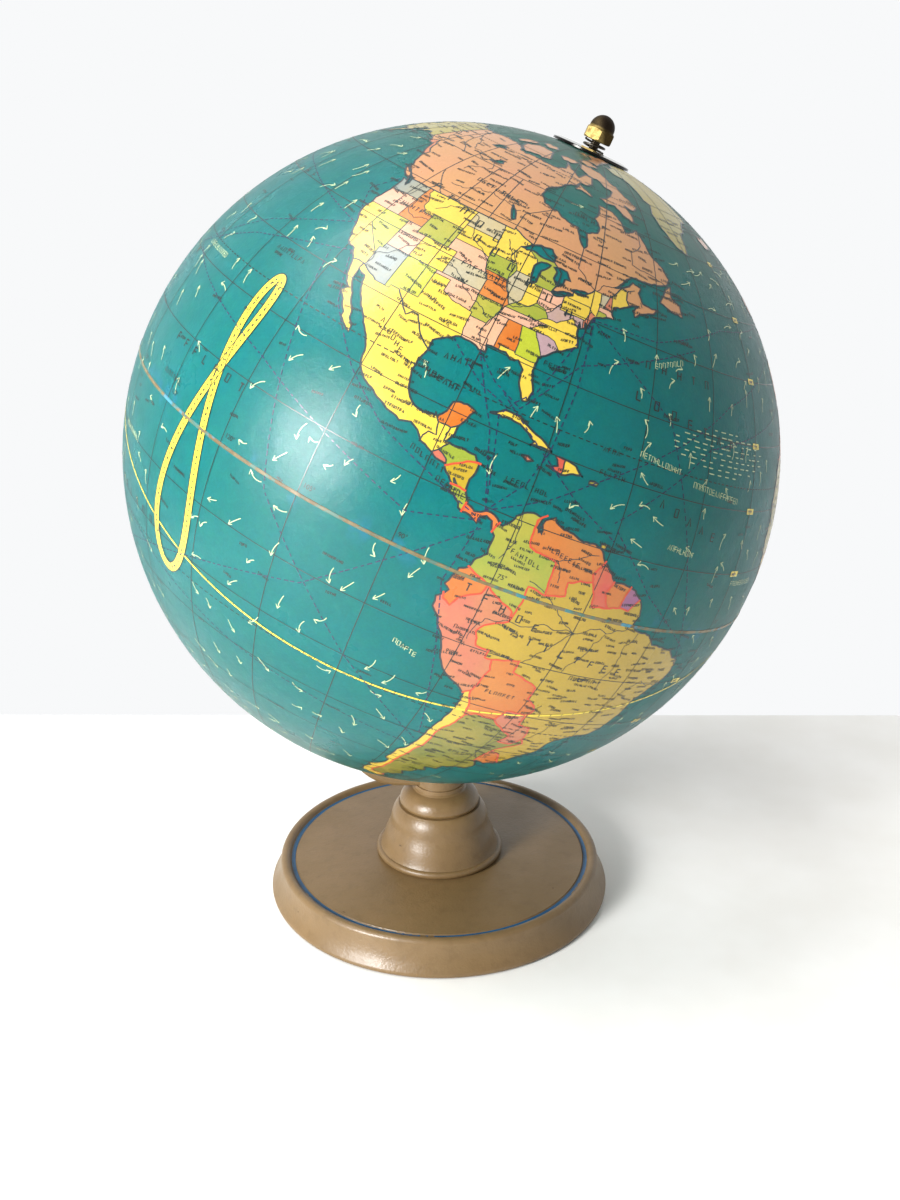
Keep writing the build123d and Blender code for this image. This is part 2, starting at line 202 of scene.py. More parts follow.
# --- Printed map: outlines ------------------------------------------------------------
# The map is drawn flat in degrees east and north, as pairs of numbers. In a border text a
# semicolon ends one line. A seed stands inside each country or state, under its ink.
coasts = {
    "americas": """
        -168.1 65.7, -164.5 64.5, -161 64.5, -161 63.5, -164.8 63, -166 61.6, -162.5 60, -162 58.7,
        -158.8 58.7, -157.3 58.5, -158 57.5, -161 55.9, -164.8 54.6, -162.5 54.9, -158.5 56, -156 57.4,
        -153.5 58.9, -154 59.4, -151.9 60.8, -149.5 61.2, -151.7 59.3, -148.5 60, -146 60.8, -144 60,
        -139.8 59.6, -136.6 58.2, -134.8 58.2, -133.5 57, -131.5 55.3, -130.3 54.6, -129.3 53.3,
        -127.8 51.8, -127.3 50.9, -124.8 49.9, -123 49.1, -122.4 48, -122.6 47.3, -123.2 48.2,
        -124.7 48.4, -124.1 46.9, -124 46.2, -124.1 44.5, -124.5 42.8, -124.1 41.8, -124.4 40.4,
        -123.7 39, -122.5 37.7, -121.9 36.6, -120.6 34.6, -118.5 34, -117.1 32.5, -116.6 31.5, -115.9 30,
        -114.2 28.6, -115 27.7, -113.6 26.7, -112.2 25.2, -112.1 24.5, -110.2 23.3, -109.5 23.1,
        -109.7 24, -110.7 24.8, -111.4 26.3, -112.9 28.1, -114.6 30, -114.8 31.7, -113.1 31.2,
        -112.2 29.3, -110.9 27.9, -109.4 26.4, -108.3 25.2, -106.4 23.2, -105.6 21.8, -105.4 20.6,
        -104.5 19.3, -102.5 18, -100.5 17.1, -98.5 16.3, -96.2 15.7, -94.5 16.2, -93.2 15.6, -92.2 14.5,
        -90.5 13.9, -88.8 13.2, -87.6 13.1, -87.6 12.7, -86.5 11.8, -85.8 11.1, -85.8 10.2, -84.9 9.8,
        -83.8 9, -83.6 8.4, -82.9 8.1, -81.8 8.1, -80.4 7.4, -80.4 8.2, -79.5 8.9, -78.5 8.5, -78.2 7.6,
        -77.4 6.7, -77.4 5.5, -77.2 4, -78.6 2.5, -78.9 1.3, -80 0.7, -80.4 -0.6, -80.9 -2.2, -80 -2.8,
        -80.4 -3.5, -81.3 -4.4, -81.1 -6, -79.8 -7.2, -78.5 -9.3, -77.2 -11.8, -76.3 -13.9, -75.2 -15.4,
        -72.5 -17, -70.4 -18.4, -70.1 -20, -70.3 -23, -70.6 -25.5, -71.4 -29.5, -71.6 -32, -72.2 -35,
        -73.5 -37.2, -73.5 -39.5, -73.8 -41.5, -72.8 -42.3, -73.2 -44.5, -75.5 -46.7, -74.2 -47.8,
        -75.4 -50, -74.5 -52.8, -71.5 -54.4, -68.5 -55.5, -65.2 -54.8, -67.5 -53.9, -68.4 -52.6,
        -69 -51.5, -67.7 -49.9, -65.8 -47.8, -67.4 -46, -65.5 -45, -65.2 -43.5, -63.7 -42.7, -65 -41,
        -62.5 -40.9, -62.2 -39, -57.7 -38.1, -56.7 -36.4, -57.3 -35.3, -58.4 -34.3, -56 -34.9,
        -53.8 -34.4, -52.2 -32.3, -50.2 -30, -48.7 -28.3, -48.6 -26, -46.3 -24, -44.5 -23.1, -42 -22.9,
        -41 -21.8, -39.8 -19.6, -39.1 -17.3, -38.9 -13.5, -37.4 -11.4, -35.3 -9.2, -34.8 -7.3, -35.4 -5.2,
        -37.3 -4.7, -39 -3.2, -41.5 -2.9, -44.3 -2.6, -46 -1.1, -48.3 -0.8, -50.5 0.2, -50 1.8, -51.3 4.2,
        -53 5.5, -55 5.9, -57.2 5.9, -58.5 7.2, -60.2 8.4, -61 9.5, -62.8 10.4, -64.7 10.2, -66.2 10.6,
        -68.3 10.9, -69.8 11.5, -70.1 12.1, -71.4 11.3, -71.6 10.6, -71.2 9.2, -72.1 9.9, -71.9 11.5,
        -73 11.6, -74.8 11.1, -75.6 10.4, -75.9 9.5, -76.9 8.4, -77.4 8.6, -78.5 9.4, -79.8 9.5,
        -81.3 8.8, -82.6 9.4, -83.6 10.9, -83.7 12.5, -83.3 14.8, -84.3 15.8, -86 15.9, -87.9 15.8,
        -88.9 15.9, -88.2 17.2, -88.2 18.4, -87.5 19.6, -86.8 21.2, -88.3 21.6, -90.3 21.1, -90.6 19.6,
        -91.5 18.5, -94.2 18.2, -95.8 18.8, -97.2 20.6, -97.8 22.3, -97.7 24.5, -97.2 26, -97.3 27.5,
        -95.6 28.7, -94 29.6, -91.8 29.6, -90.3 29.1, -89.2 29.1, -89.6 30.2, -88 30.3, -86.3 30.4,
        -85.2 29.7, -84 30.1, -82.8 29.1, -82.7 27.7, -81.8 26.1, -81.1 25.1, -80.4 25.3, -80.1 26.9,
        -81.3 29.5, -81.2 31.6, -79.3 33.1, -77.8 33.9, -76.4 34.8, -75.5 35.3, -75.9 36.6, -76.3 37.2,
        -76.4 39.2, -75.9 38.2, -75.2 38.5, -75.5 39.5, -74.8 39, -74 40.6, -72.2 41.2, -70.7 41.7,
        -70 41.7, -70.7 42.7, -70.2 43.7, -68 44.4, -67 44.9, -66 45.2, -64.7 45.6, -66.1 44.4,
        -65.6 43.5, -63.5 44.6, -61 45.3, -60 46.2, -63.8 46.2, -65 47.8, -64.4 48.8, -66.5 49.2,
        -71.2 46.8, -69 48.3, -66.9 50.1, -62 50.3, -59 50.8, -56.5 51.6, -55.7 52.7, -57.3 54.5,
        -60.3 55.8, -61.8 57.5, -64.5 60.3, -68.5 58.7, -70 60.8, -73.5 62.3, -77.8 62.4, -77.5 60,
        -78.5 58.7, -76.6 57, -77 55.7, -79.7 54.7, -78.9 52.2, -79.5 51.5, -81 52.9, -82.3 55.1,
        -85.2 55.3, -88.5 56.5, -92.7 57, -94.7 58.7, -94.5 60.5, -91 62.8, -90.5 63.8, -87 65, -86 66.3,
        -83.5 66.4, -81.5 67.5, -82 69.8, -85.5 69.8, -87.5 67.9, -91.8 69.6, -95.5 71.8, -94 68.9,
        -97 67.8, -101 67.8, -108 68, -114 67.9, -115.5 69, -123 69.9, -128 70.5, -134.5 69.5, -141 69.7,
        -149 70.4, -156.5 71.3, -162.5 69.8, -166.2 68.4, -163.5 67, -162 66.1
    """,
    "baffin": """
        -65 61.9, -72 64.3, -77.8 64.4, -73.8 66.4, -72.5 68.2, -79 70, -84 70.2, -88.5 71.5, -89.5 73.3,
        -85.5 73.7, -81 73.5, -76.5 72.6, -70 70.8, -67.5 69.2, -61.8 66.6, -64.3 65.2, -67.8 65.7,
        -65 63.2
    """,
    "victoria": "-105 69, -113 68.5, -117 69.7, -118.8 71.5, -115 73.2, -108 73.1, -105 72.8, -102 69.7",
    "banks": "-125.5 71.9, -123 71.2, -118.5 72.8, -117 74, -121 74.4, -124.5 73.5",
    "ellesmere": """
        -62 82.4, -75 83.1, -87 82.2, -90 81, -86 80, -85 78.5, -88 76.4, -80 76.2, -77 78.2, -72 80,
        -65 81.4
    """,
    "axel": "-89 78.5, -96 79.8, -93.5 81.2, -89.5 80.2",
    "devon": "-80 75.7, -90 76, -92 74.7, -80 74.6",
    "somerset": "-90.5 73.8, -96 73.8, -101 73.4, -98 71.9, -95.8 72.2, -93 72.2",
    "melville": "-106 75, -116 75, -117 76.4, -108 76.2",
    "southampton": "-80.5 63.8, -86.8 64, -86 65.8, -81.5 64.5",
    "newfoundland": """
        -59.3 47.7, -55.8 46.9, -53 46.7, -53.5 48.6, -55.8 49.6, -55.6 51.5, -57.3 50.6, -58.5 48.8
    """,
    "vancouver": "-123.4 48.4, -125.8 49.3, -128.3 50.7, -126 50.5, -124.4 49.4",
    "greenland": """
        -73 78.2, -67 76, -60 76, -58.5 75.3, -54.8 72.8, -54 70.5, -51 69.7, -53.6 67.3, -52.2 64.5,
        -49.8 62.2, -47.8 60.8, -43.9 59.8, -42.7 61.2, -40.5 64.5, -36.5 65.8, -32 68.1, -25.5 68.8,
        -22 70.3, -22 73, -19 75.3, -20 78, -18 80, -12 81.6, -23 82.5, -33 83.6, -45 82.6, -58 82.1,
        -63 81.3, -66 80.2, -66 79.2
    """,
    "cuba": """
        -84.9 21.9, -83 23, -80.5 23.1, -77.3 21.6, -75 20.7, -74.2 20.2, -77.7 19.9, -77.2 20.6,
        -78.5 21.4, -81.8 22.2, -84 22
    """,
    "hispaniola": """
        -74.4 18.3, -72.6 18.7, -73 19.5, -73.4 19.9, -71.2 19.9, -69.9 19.6, -68.4 18.6, -70.5 18.3,
        -71.7 17.8
    """,
    "jamaica": "-78.3 18.3, -77.4 18.5, -76.3 18.1, -77.2 17.8",
    "puerto_rico": "-67.2 18.4, -65.7 18.4, -65.9 18, -67.2 18",
    "trinidad": "-61.9 10.7, -60.9 10.8, -61 10.1, -61.8 10.1",
    "falklands": "-61 -51.8, -58 -51.4, -58.5 -52.1, -60.5 -52.2",
    "hawaii": "-156 19.7, -155 20.2, -155.5 18.9",
    "africa": """
        -5.9 35.8, -2 35.1, 3 36.9, 10 37.3, 11 33.5, 15.5 32.3, 20 30.5, 20 32.8, 25 31.6, 32.3 31.2,
        32.5 30, 33.5 27.8, 35.7 24, 37.3 21, 38.5 18, 40 15.3, 43.3 12, 43.5 11.2, 47 11.2, 51.2 11.9,
        50.8 9, 48 4.5, 43.5 0.5, 41.5 -2, 39.3 -4.7, 39.4 -8, 40.6 -11, 40.6 -15, 37 -17.8, 34.8 -20,
        35.5 -24, 32.8 -26, 32.5 -28.5, 30.5 -31, 27 -33.6, 22 -34.1, 18.4 -34.2, 18 -31.5, 16.3 -28.6,
        14.5 -22.8, 12 -18, 12.2 -15.5, 13.8 -11, 12.3 -6, 9.3 -2.5, 9.5 1, 9.6 3.9, 7 4.4, 4.4 6.3,
        1 5.9, -2.5 5, -7.6 4.4, -11.5 6.9, -13.3 9, -15 11, -17.3 14.7, -16.3 19, -17 21, -14.5 26,
        -11 28.7, -9.7 31, -6.8 34
    """,
    "eurasia": """
        -5.6 36, -6.5 37, -9 37, -9.4 38.8, -8.8 43.2, -1.8 43.4, -1.2 46, -4.6 48, -1.6 48.7, 1.6 50.7,
        4.5 52.3, 8.3 53.6, 8.2 57, 10.6 57.6, 9.7 55, 11 54, 14.3 53.9, 18.6 54.7, 21.2 55.2, 21.7 57.4,
        24 57.2, 23.8 59, 28 59.6, 30 60, 25 60.2, 22.5 60, 21.4 61.5, 25.3 65, 22 65.7, 17.3 61.2,
        18.8 60, 16.5 57, 14.3 55.5, 12.8 55.6, 11.3 59, 10.5 59.4, 8 58.1, 5.5 59, 5 61.8, 10 64,
        13 66.5, 18 69.3, 25.5 71, 31 70.3, 41 67.5, 40 66.3, 34 66.7, 35 64.4, 38 64.2, 40 65, 44 66.2,
        44 68.4, 54 68.5, 60.5 69.5, 68 68.5, 67 71, 69 72.8, 73 71.5, 73 67.5, 75 72, 81 73.5, 87 75.2,
        98 76.3, 104.5 77.6, 113 74, 127 73.3, 130 71, 140 72.5, 152 71, 160 69.7, 170 69.8, 180 68.9,
        180 65, 177.5 64.7, 179.5 62.5, 171 60, 163.5 59.7, 162 56.3, 157 51.2, 156 56.5, 163 61.5,
        160 61.8, 155 59.3, 143 59.3, 135.3 54.7, 141 53, 140.5 48, 135 43.5, 130.7 42.3, 127.6 39.5,
        129.4 36, 126.4 34.5, 126.7 37, 124.5 40, 121.5 39, 121.5 40.8, 117.8 39, 119 37.3, 122.5 37.2,
        119.3 35, 121.8 31.5, 121.8 29, 119 25.5, 114 22.4, 110.3 21.3, 108.2 21.6, 105.8 19, 108.7 15,
        109.2 12, 105 8.7, 104.9 10.3, 102.5 12.1, 100.8 13.4, 99.3 10, 100.5 7, 103.4 4.2, 104.2 1.4,
        103 1.7, 100.5 4.8, 98.5 8, 98.7 11.5, 97.5 16.5, 94.3 16, 94.2 18.8, 91.8 22.4, 88.3 21.7,
        86.9 20.5, 82.2 16.6, 80.2 15, 80.3 13, 79.5 10.3, 77.5 8.1, 76.2 10, 74.3 14.5, 72.8 19, 72.7 21,
        70.3 20.9, 69 22.2, 67.3 24, 66.6 25.3, 61.6 25.2, 57.3 25.7, 56.5 27.1, 52.5 27.5, 50.2 30,
        48 30, 48.5 28.3, 50.2 26.5, 51.5 25.8, 51.5 24.2, 54 24.1, 56.3 26.2, 57 24, 59.8 22.4, 57.7 19,
        55 17, 52 15.5, 45 12.8, 43.3 12.8, 42.7 16.5, 39 21.5, 35.5 27.5, 35 29.5, 34.3 31.3, 35.9 35,
        36 36.8, 30.6 36.8, 27.5 37, 26.3 39.2, 29 40.9, 35 42, 41.5 41.5, 37 45, 35 46.3, 33.5 46.1,
        33.8 44.4, 30.8 46.4, 28.5 43.5, 28 41.5, 26.2 40.8, 23.5 40.3, 24 38, 22.7 36.5, 21.5 37.7,
        19.5 40.5, 19.3 42, 15 44.3, 13.6 45.6, 12.3 45.3, 12.5 44, 14 42.6, 18.4 40.2, 16.9 40.5,
        16.6 39, 15.7 38, 15.6 40, 12.3 41.8, 10.2 43.9, 8.8 44.4, 7.5 43.8, 4.5 43.4, 3.2 43, 3.2 41.9,
        -0.4 39.4, 0 38.6, -2.2 36.8
    """,
    "britain": """
        -5.5 50.1, 1.4 51.2, 0.3 53.1, -1.9 55.6, -2 57.6, -5 58.6, -5.6 56.3, -3 54.5, -4.6 53.2,
        -5.2 51.8
    """,
    "ireland": "-6 52.2, -9.8 51.6, -10 54.2, -7.4 55.3, -5.6 54.5",
    "iceland": "-22.7 63.9, -14 64.5, -16 66.4, -22.5 66.4, -24 65.4",
    "madagascar": "45 -25.5, 47.2 -25, 50.2 -15.8, 49.3 -12.2, 46.3 -15.8, 44.3 -17, 43.5 -22.5",
    "ceylon": "80 9.6, 81.7 7.5, 80.5 6, 79.8 8",
    "honshu": """
        130.2 31.4, 131.5 33.2, 135.8 33.6, 140.8 35.7, 142 39.5, 141.4 41.3, 140 40.5, 139.8 38.5,
        137 37.2, 136 35.7, 132 35, 130 33.3
    """,
    "hokkaido": "140.2 41.6, 143.2 42, 145.4 43.3, 141.8 45.4, 141.3 43.3",
    "taiwan": "120.2 23, 121.5 25.2, 121 22",
    "luzon": "120.5 18.3, 122.2 18.4, 121.7 15.8, 123.9 13, 121 13.7, 120 16",
    "mindanao": "122 7, 125.5 9.7, 126.4 7.5, 125.3 5.8, 124 6.5",
    "borneo": """
        109.2 1.8, 111.3 2.6, 113.8 4.4, 117 7, 119 5.2, 117.7 1, 116.4 -3.8, 114.5 -4, 110.2 -2.8
    """,
    "sumatra": "95.4 5.6, 98.5 3.9, 103.6 -0.5, 106 -3, 105.8 -5.8, 102.3 -4, 98.7 1.5",
    "java": "105.3 -6.6, 108.5 -6.7, 112.7 -7, 114.4 -8.5, 110 -8.1",
    "celebes": """
        119.4 -5.5, 119 -2.5, 120 0.8, 125 1.5, 120.5 0, 123.3 -0.9, 121.3 -1.9, 122.5 -5.3, 120.5 -2.8
    """,
    "new_guinea": """
        131 -0.9, 134 -0.8, 135.2 -3.4, 141 -2.6, 147.5 -6, 150.7 -10.5, 146 -8.8, 143 -9.2, 138 -8,
        133 -4
    """,
    "australia": """
        113.7 -22.5, 114.2 -26.5, 115.8 -32, 115 -34.3, 118 -35, 123.5 -33.9, 129 -31.6, 134.2 -33,
        137.8 -33, 136 -35, 138.3 -35.5, 140.7 -38, 146.3 -39, 150 -37.4, 151.5 -33, 153.5 -28.5,
        150.8 -23.4, 146.3 -19, 145.4 -15, 142.5 -10.8, 141.6 -14, 139.5 -17.5, 135.8 -15, 136.8 -12.2,
        132.5 -11.5, 129.5 -14.9, 126 -14, 122.3 -18, 118.5 -20.4
    """,
    "tasmania": "144.8 -40.8, 148.3 -40.9, 147 -43.6, 145.4 -42.5",
    "north_island": """
        172.8 -34.5, 175.5 -36.6, 178.4 -37.7, 177 -39.5, 175.2 -41.6, 173.8 -39.3, 174.8 -37.5
    """,
    "south_island": "172.8 -40.6, 174.2 -41.8, 171 -45, 169 -46.6, 166.5 -45.9, 170 -43.2",
    "novaya": "51.5 71.5, 55.5 70.7, 57 73, 68.5 76.8, 58 75.5",
    "spitsbergen": "11 79.5, 16 76.7, 22 78, 27 80, 16 80",
    "sakhalin": "142 46, 143.5 49, 143 54, 141.8 51",
    "antarctica": """
        -180 -77.5, -165 -78.3, -150 -77, -140 -75, -125 -73.8, -103 -73, -100 -72, -80 -73, -67 -70,
        -65 -66, -57.5 -63.3, -61 -68, -61 -74, -60 -78, -42 -78.2, -30 -76.5, -18 -73, -8 -71, 10 -70.2,
        33 -69, 50 -66.8, 57 -66.8, 70 -69.5, 80 -68, 90 -66.6, 110 -66.3, 135 -66, 150 -68.5, 165 -70.8,
        170 -72.5, 164 -78, 180 -78.3, 180 -86.5, -180 -86.5
    """,
}
lakes = {
    "superior": "-92 46.7, -90 47.9, -88.5 48.5, -86 48.7, -84.8 47.8, -84.6 46.6, -87 46.5, -89.5 46.9",
    "michigan": "-87.3 41.7, -86.4 42.2, -86.4 44.2, -85.2 45.4, -85 45.9, -87 45.7, -88 44.6, -87.8 43",
    "huron": "-82.5 43.1, -83.6 44, -83.4 45.2, -84.4 45.8, -81.5 46, -80.2 44.7, -81.4 44.6, -81.6 43.4",
    "erie": "-83.2 41.8, -81 42.6, -79 42.8, -80.5 42, -82.5 41.4",
    "ontario": "-79.6 43.3, -77.5 44, -76.3 44.1, -76.8 43.4",
    "winnipeg": "-97 50.6, -98.5 52.5, -99 53.6, -97.5 52.5, -96.4 51",
    "great_slave": "-111 61.3, -115.5 61, -112 62.3",
    "great_bear": "-118 66, -123 65.3, -121 66.8",
    "nicaragua": "-85.8 11.9, -85 11.2, -85.5 11.3",
    "maracaibo": "-71.9 10.3, -71.2 9.9, -71.8 9.3",
    "caspian": "49.5 45.5, 53 46.8, 53 42, 53.8 37, 49.5 37.5, 49.5 40.5, 47.5 43",
    "victoria_nyanza": "32 0.3, 34 0, 33.8 -2, 32 -2.3",
}
borders = {
    "country": """
        -95.2 49.4, -93 48.6, -89.6 48, -88.4 48.3, -84.8 46.8, -83.5 46, -82.5 45.3, -82.5 43, -83 42.1,
        -82.5 41.7, -79 42.6, -79.1 43.3, -76.8 43.6, -75 45; -71.5 45, -70.3 46, -69.2 47.4, -67.8 47.1,
        -67.8 45.7, -66.9 44.8; -141 60.2, -137.5 59, -135.5 59.7, -133.5 58.3, -131.8 56.6, -130 55.9,
        -130.4 54.5; -117.3 32.5, -114.7 32.7, -111 31.3; -106.5 31.8, -104.9 30.6, -103.2 29,
        -102.5 29.8, -101.4 29.8, -99.5 27.5, -97 25.9; -114.8 32.8, -114.9 31.6; -92.3 14.3, -92.2 15.3,
        -91.7 16.1, -90.5 16.1, -91 17.8, -89.1 17.8, -88.1 18.6; -89.1 17.8, -89.2 15.9, -88.8 15.8;
        -88.2 15.9, -89.3 14.5, -90.2 13.7; -89.3 14.5, -87.8 13.7, -87.6 13; -87.7 12.9, -86 13.9,
        -85 14.6, -83 15; -86 11, -84 10.9, -83.5 10.9; -83 8, -82.8 9.6; -78 7, -77.3 8.8; -92 18.9,
        -90.9 17.7; -71.8 20, -71.8 17.7; -71.3 12, -72.5 10.9, -72.4 8.4, -72 7.1, -67.5 6.2, -67.3 3.4,
        -67 1.2, -69.8 1.7, -69.6 -0.6, -70 -4.2, -70.3 -2.7, -74.5 -0.7, -75.3 -0.1, -77.6 0.8, -79 1.5;
        -75.3 -0.1, -75.6 -1.6, -78.3 -3.4, -79 -5, -80.3 -4.3, -80.6 -3.3; -70 -4.2, -73.1 -6,
        -73.8 -7.3, -72.8 -9.5, -70.6 -9.6, -70.6 -11, -69.5 -11, -68.8 -12.8, -69.2 -15.5, -69.6 -17.5,
        -70.7 -18.4; -69.6 -17.5, -68.5 -20, -67.9 -22.8, -66.3 -21.8, -62.7 -22.1, -61.9 -19.6,
        -58.2 -19.8, -57.6 -18.2, -58.3 -17.3, -60.2 -16.2, -60.3 -13.8, -65.3 -12, -65.4 -9.8, -69.5 -11;
        -58.2 -19.8, -57.9 -22.1, -55.7 -22.3, -54.6 -25.5, -56 -27.4, -58.6 -27.2, -57.7 -25.3,
        -62.7 -22.1; -54.6 -25.5, -53.7 -26.8, -57.6 -30.2, -58.3 -33.5, -58.4 -34.4; -57.6 -30.2,
        -55.5 -31, -53.3 -34; -67.9 -22.8, -68.4 -25, -70 -29, -70 -33, -71 -37, -71.8 -42, -72 -47,
        -73 -50, -72 -52, -68.2 -52.4, -68.6 -55.6; -67 1.2, -64 2, -64.5 4, -60.8 5.1, -61.3 6.2,
        -60 8.6; -60.8 5.1, -59.8 3.5, -59.2 1.5, -56.5 1.9, -54.5 2.4, -52.7 2.2, -51.4 4.3; -57.3 6.1,
        -58 4, -56.5 1.9; -54 6, -54.5 2.4; -1.8 43.6, 3.4 42.3; -9 42, -6.8 41.5, -7.3 37; 2.4 51.3,
        6.1 49.5, 8.2 49, 7.5 47.5, 6.9 46, 7.6 43.6; 8.5 54.9, 10 54.8; 14.3 54.1, 14.8 51, 12.3 50.2,
        13 48.5, 7.5 47.5; 6.9 46, 10.5 46.8, 13.7 46.5, 13.6 45.4; 19.5 54.8, 23.5 54, 23.5 51, 24 50,
        22.5 49, 28 48.3, 28.3 45.3; 14.8 51, 18.8 49.5, 22.5 49; 13.7 46.5, 16.5 46.5, 22.5 48, 26 48;
        13.6 45.4, 20 46.2, 22.7 44.3, 28.7 43.8; 22.7 44.3, 22.4 41.8, 26.3 41.5; 19.2 41.9, 22.4 41.3,
        26.3 41.5, 26.1 40.7; 11.2 58.9, 12 63, 16 68, 20.5 69.1, 25 69.3, 28.8 69.5, 31 70.4; 24.2 65.6,
        20.5 69.1; 27.8 60, 31.5 62.8, 29.5 66.5, 28.8 69.5; 41.4 41.4, 44.5 39.8, 48.9 38.4, 49.6 38.4;
        44.5 39.8, 44.6 37.2, 42.3 37.2, 35.8 36.5; 44.6 37.2, 46 33.5, 48 29.9; 53.8 37.3, 57.5 38.2,
        61.2 36.6, 61 31, 63 27.2, 61.6 25.1; 61.2 36.6, 66 37.4, 71.5 38, 74.8 37.3, 71 34, 69.5 31.8,
        66.4 29.6, 61 29.8; 74.8 37.3, 75 32.5, 71 27.5, 68.6 24; 74.8 37.3, 79 32, 81.5 30.2, 88 27.8,
        92 27.8, 97.3 28.2, 94 23.9, 92.2 20.6; 97.3 28.2, 98.7 25, 99.5 22, 102 22.4, 106.7 22.8,
        108.1 21.5; 99.5 22, 97.7 18.5, 99 14, 98.6 10.3; 100.3 20.3, 104.8 16.4, 105 14.3, 102.4 12;
        99.9 6.6, 102.3 6.2; 74.8 37.3, 73.8 39.8, 80.2 42, 82.5 45.3, 87.5 49.1, 98 50.5, 102.5 51.3,
        107 49.8, 116.7 49.8, 120 53.3, 126 52.8, 130.7 48.8, 135 48.3, 131.3 44.9, 130.8 42.2; 87.5 49.1,
        91 46, 96.4 42.7, 105 41.6, 111.8 43.7, 119.9 46.7, 116.7 49.8; 124.3 40, 130.8 42.4; 34.9 29.5,
        38.8 32, 42 31.1, 48.5 28.5; 42.7 16.4, 52 19, 52.5 15.6; -2.2 35.2, -1.2 32.3, -8.7 28.7,
        -8.7 27.7, -13.4 27.7; 8.4 37, 7.5 33.9, 9.5 30.2, 9.9 26.5, 12 23.5, 15.9 23.4, 24 19.5, 25 22;
        9.5 30.2, 11.6 33.4; -8.7 27.3, -4.8 25, 1.2 21.2, 4.2 19.2, 12 23.5; 24 19.5, 22.5 13, 24 9,
        27.5 5, 31 3.7, 34 4.3, 35.5 5, 41.9 4, 45 5, 48 8, 43.2 11.3; 38.6 18, 36.5 14.3, 34.2 10.5,
        33 8, 35.5 5; 41.9 4, 41 -0.9, 41.6 -1.9; 2.7 6.1, 3.6 11.7, 13.6 13.7, 13.5 10, 8.6 4.5; -3.1 5,
        -2.8 11, 0.5 11, 1.2 5.9; -15.1 11, -11.5 12.2, -8 10, -8.5 7.5, -11.6 6.8; 9.6 2.2, 16 2.2,
        14.5 5, 15.5 10, 13.6 13.7; 12.1 -5.8, 16 -4.8, 18 -0.5, 18.6 4.3, 27.5 5; 12.2 -6, 16.6 -6,
        17.6 -8.1, 21.8 -7.3, 22 -11, 24 -11, 25.5 -11.5, 29.8 -13.3, 28.5 -12, 28.5 -8.6, 30.7 -8.3,
        29.3 -6, 29 -2.5, 29.5 0.5, 31 3.7; 24 -11, 24 -13, 22 -13, 22 -16.3, 23.5 -17.6, 18.5 -17.4,
        11.7 -17.3; 34 4.3, 34 -1, 37.6 -3.1, 39.4 -4.7; 29.6 -1.1, 34 -1; 30.7 -8.3, 33 -9.5, 34.5 -11.5,
        40.6 -10.5; 34.5 -11.5, 34.5 -14.5, 30.3 -15.4, 33 -17.5, 32.5 -20.8, 31.3 -22.3, 32 -26.8,
        32.9 -26.9; 16.2 -28.6, 20 -28.5; 20 -25, 23 -25.3, 25.5 -25.6, 29.4 -22.2, 31.3 -22.3;
        23.5 -17.6, 25.3 -17.8, 30.3 -15.4; 25.3 -17.8, 27.5 -20.5, 29.4 -22.2; 26.5 41.4, 28.1 41.4
    """,
    "country_ruled": """
        -123.5 49, -95.2 49, -95.2 49.4; -141 69.9, -141 60.2; 25 31.7, 25 22, 36.9 22; 141 -2.5,
        141 -9.2; 20 -28.5, 20 -22, 21 -22, 21 -18.3, 23.5 -17.6
    """,
    "state": """
        -124.3 46.2, -122.8 45.7, -119 45.95, -116.9 46; -116.05 48, -114.5 46.6, -114.4 45.5, -113 44.5,
        -111.05 44.6; -100 34.6, -97.2 33.8, -94.5 33.6, -94.04 33.6; -94.04 31.9, -93.7 30, -93.8 29.5;
        -98.5 43, -96.5 42.5, -95.8 40.6, -95.3 40, -94.6 39.1; -97.2 49, -96.6 45.94, -96.45 45.3,
        -96.45 43.5, -96.5 42.5; -92.1 46.8, -92.3 46.1, -92.8 45.2, -91.2 43.5, -90.6 42.5, -91.2 41,
        -91.4 40.5, -90.7 39, -90.2 38.6, -89.2 37, -89.6 36.5, -90.1 35, -91.1 33, -91.5 31; -90.3 46.8,
        -88 45.8, -87.6 45; -89.2 37, -88.1 37.8, -86 38, -84.8 39.1, -83 38.7, -82.6 38.3, -81.7 39,
        -80.6 40.6; -84.3 35, -81.7 36.6; -83.1 35, -82 33.6, -81 32; -79.5 39.2, -77.8 39.6, -77.7 39.3,
        -77 38.4, -76.2 37.9; -77.7 39.3, -78.9 38.4, -80.3 37.5, -82 37.5, -82.6 38.3; -82 37.5,
        -83.7 36.6; -75.3 42, -74.7 41.4, -75.1 40.7, -75.6 39.6; -120 54, -114.2 49; -79.5 47.5,
        -76.5 45.6, -74.5 45; -136 69.1, -129 62, -124 60; -64.5 60.4, -64 57, -67 55, -66.8 52.5,
        -57.2 51.3; -66 47.9, -67.8 47.1; -64.4 46.3, -64 45.5; 141 -34, 144.5 -36, 150.1 -37.5
    """,
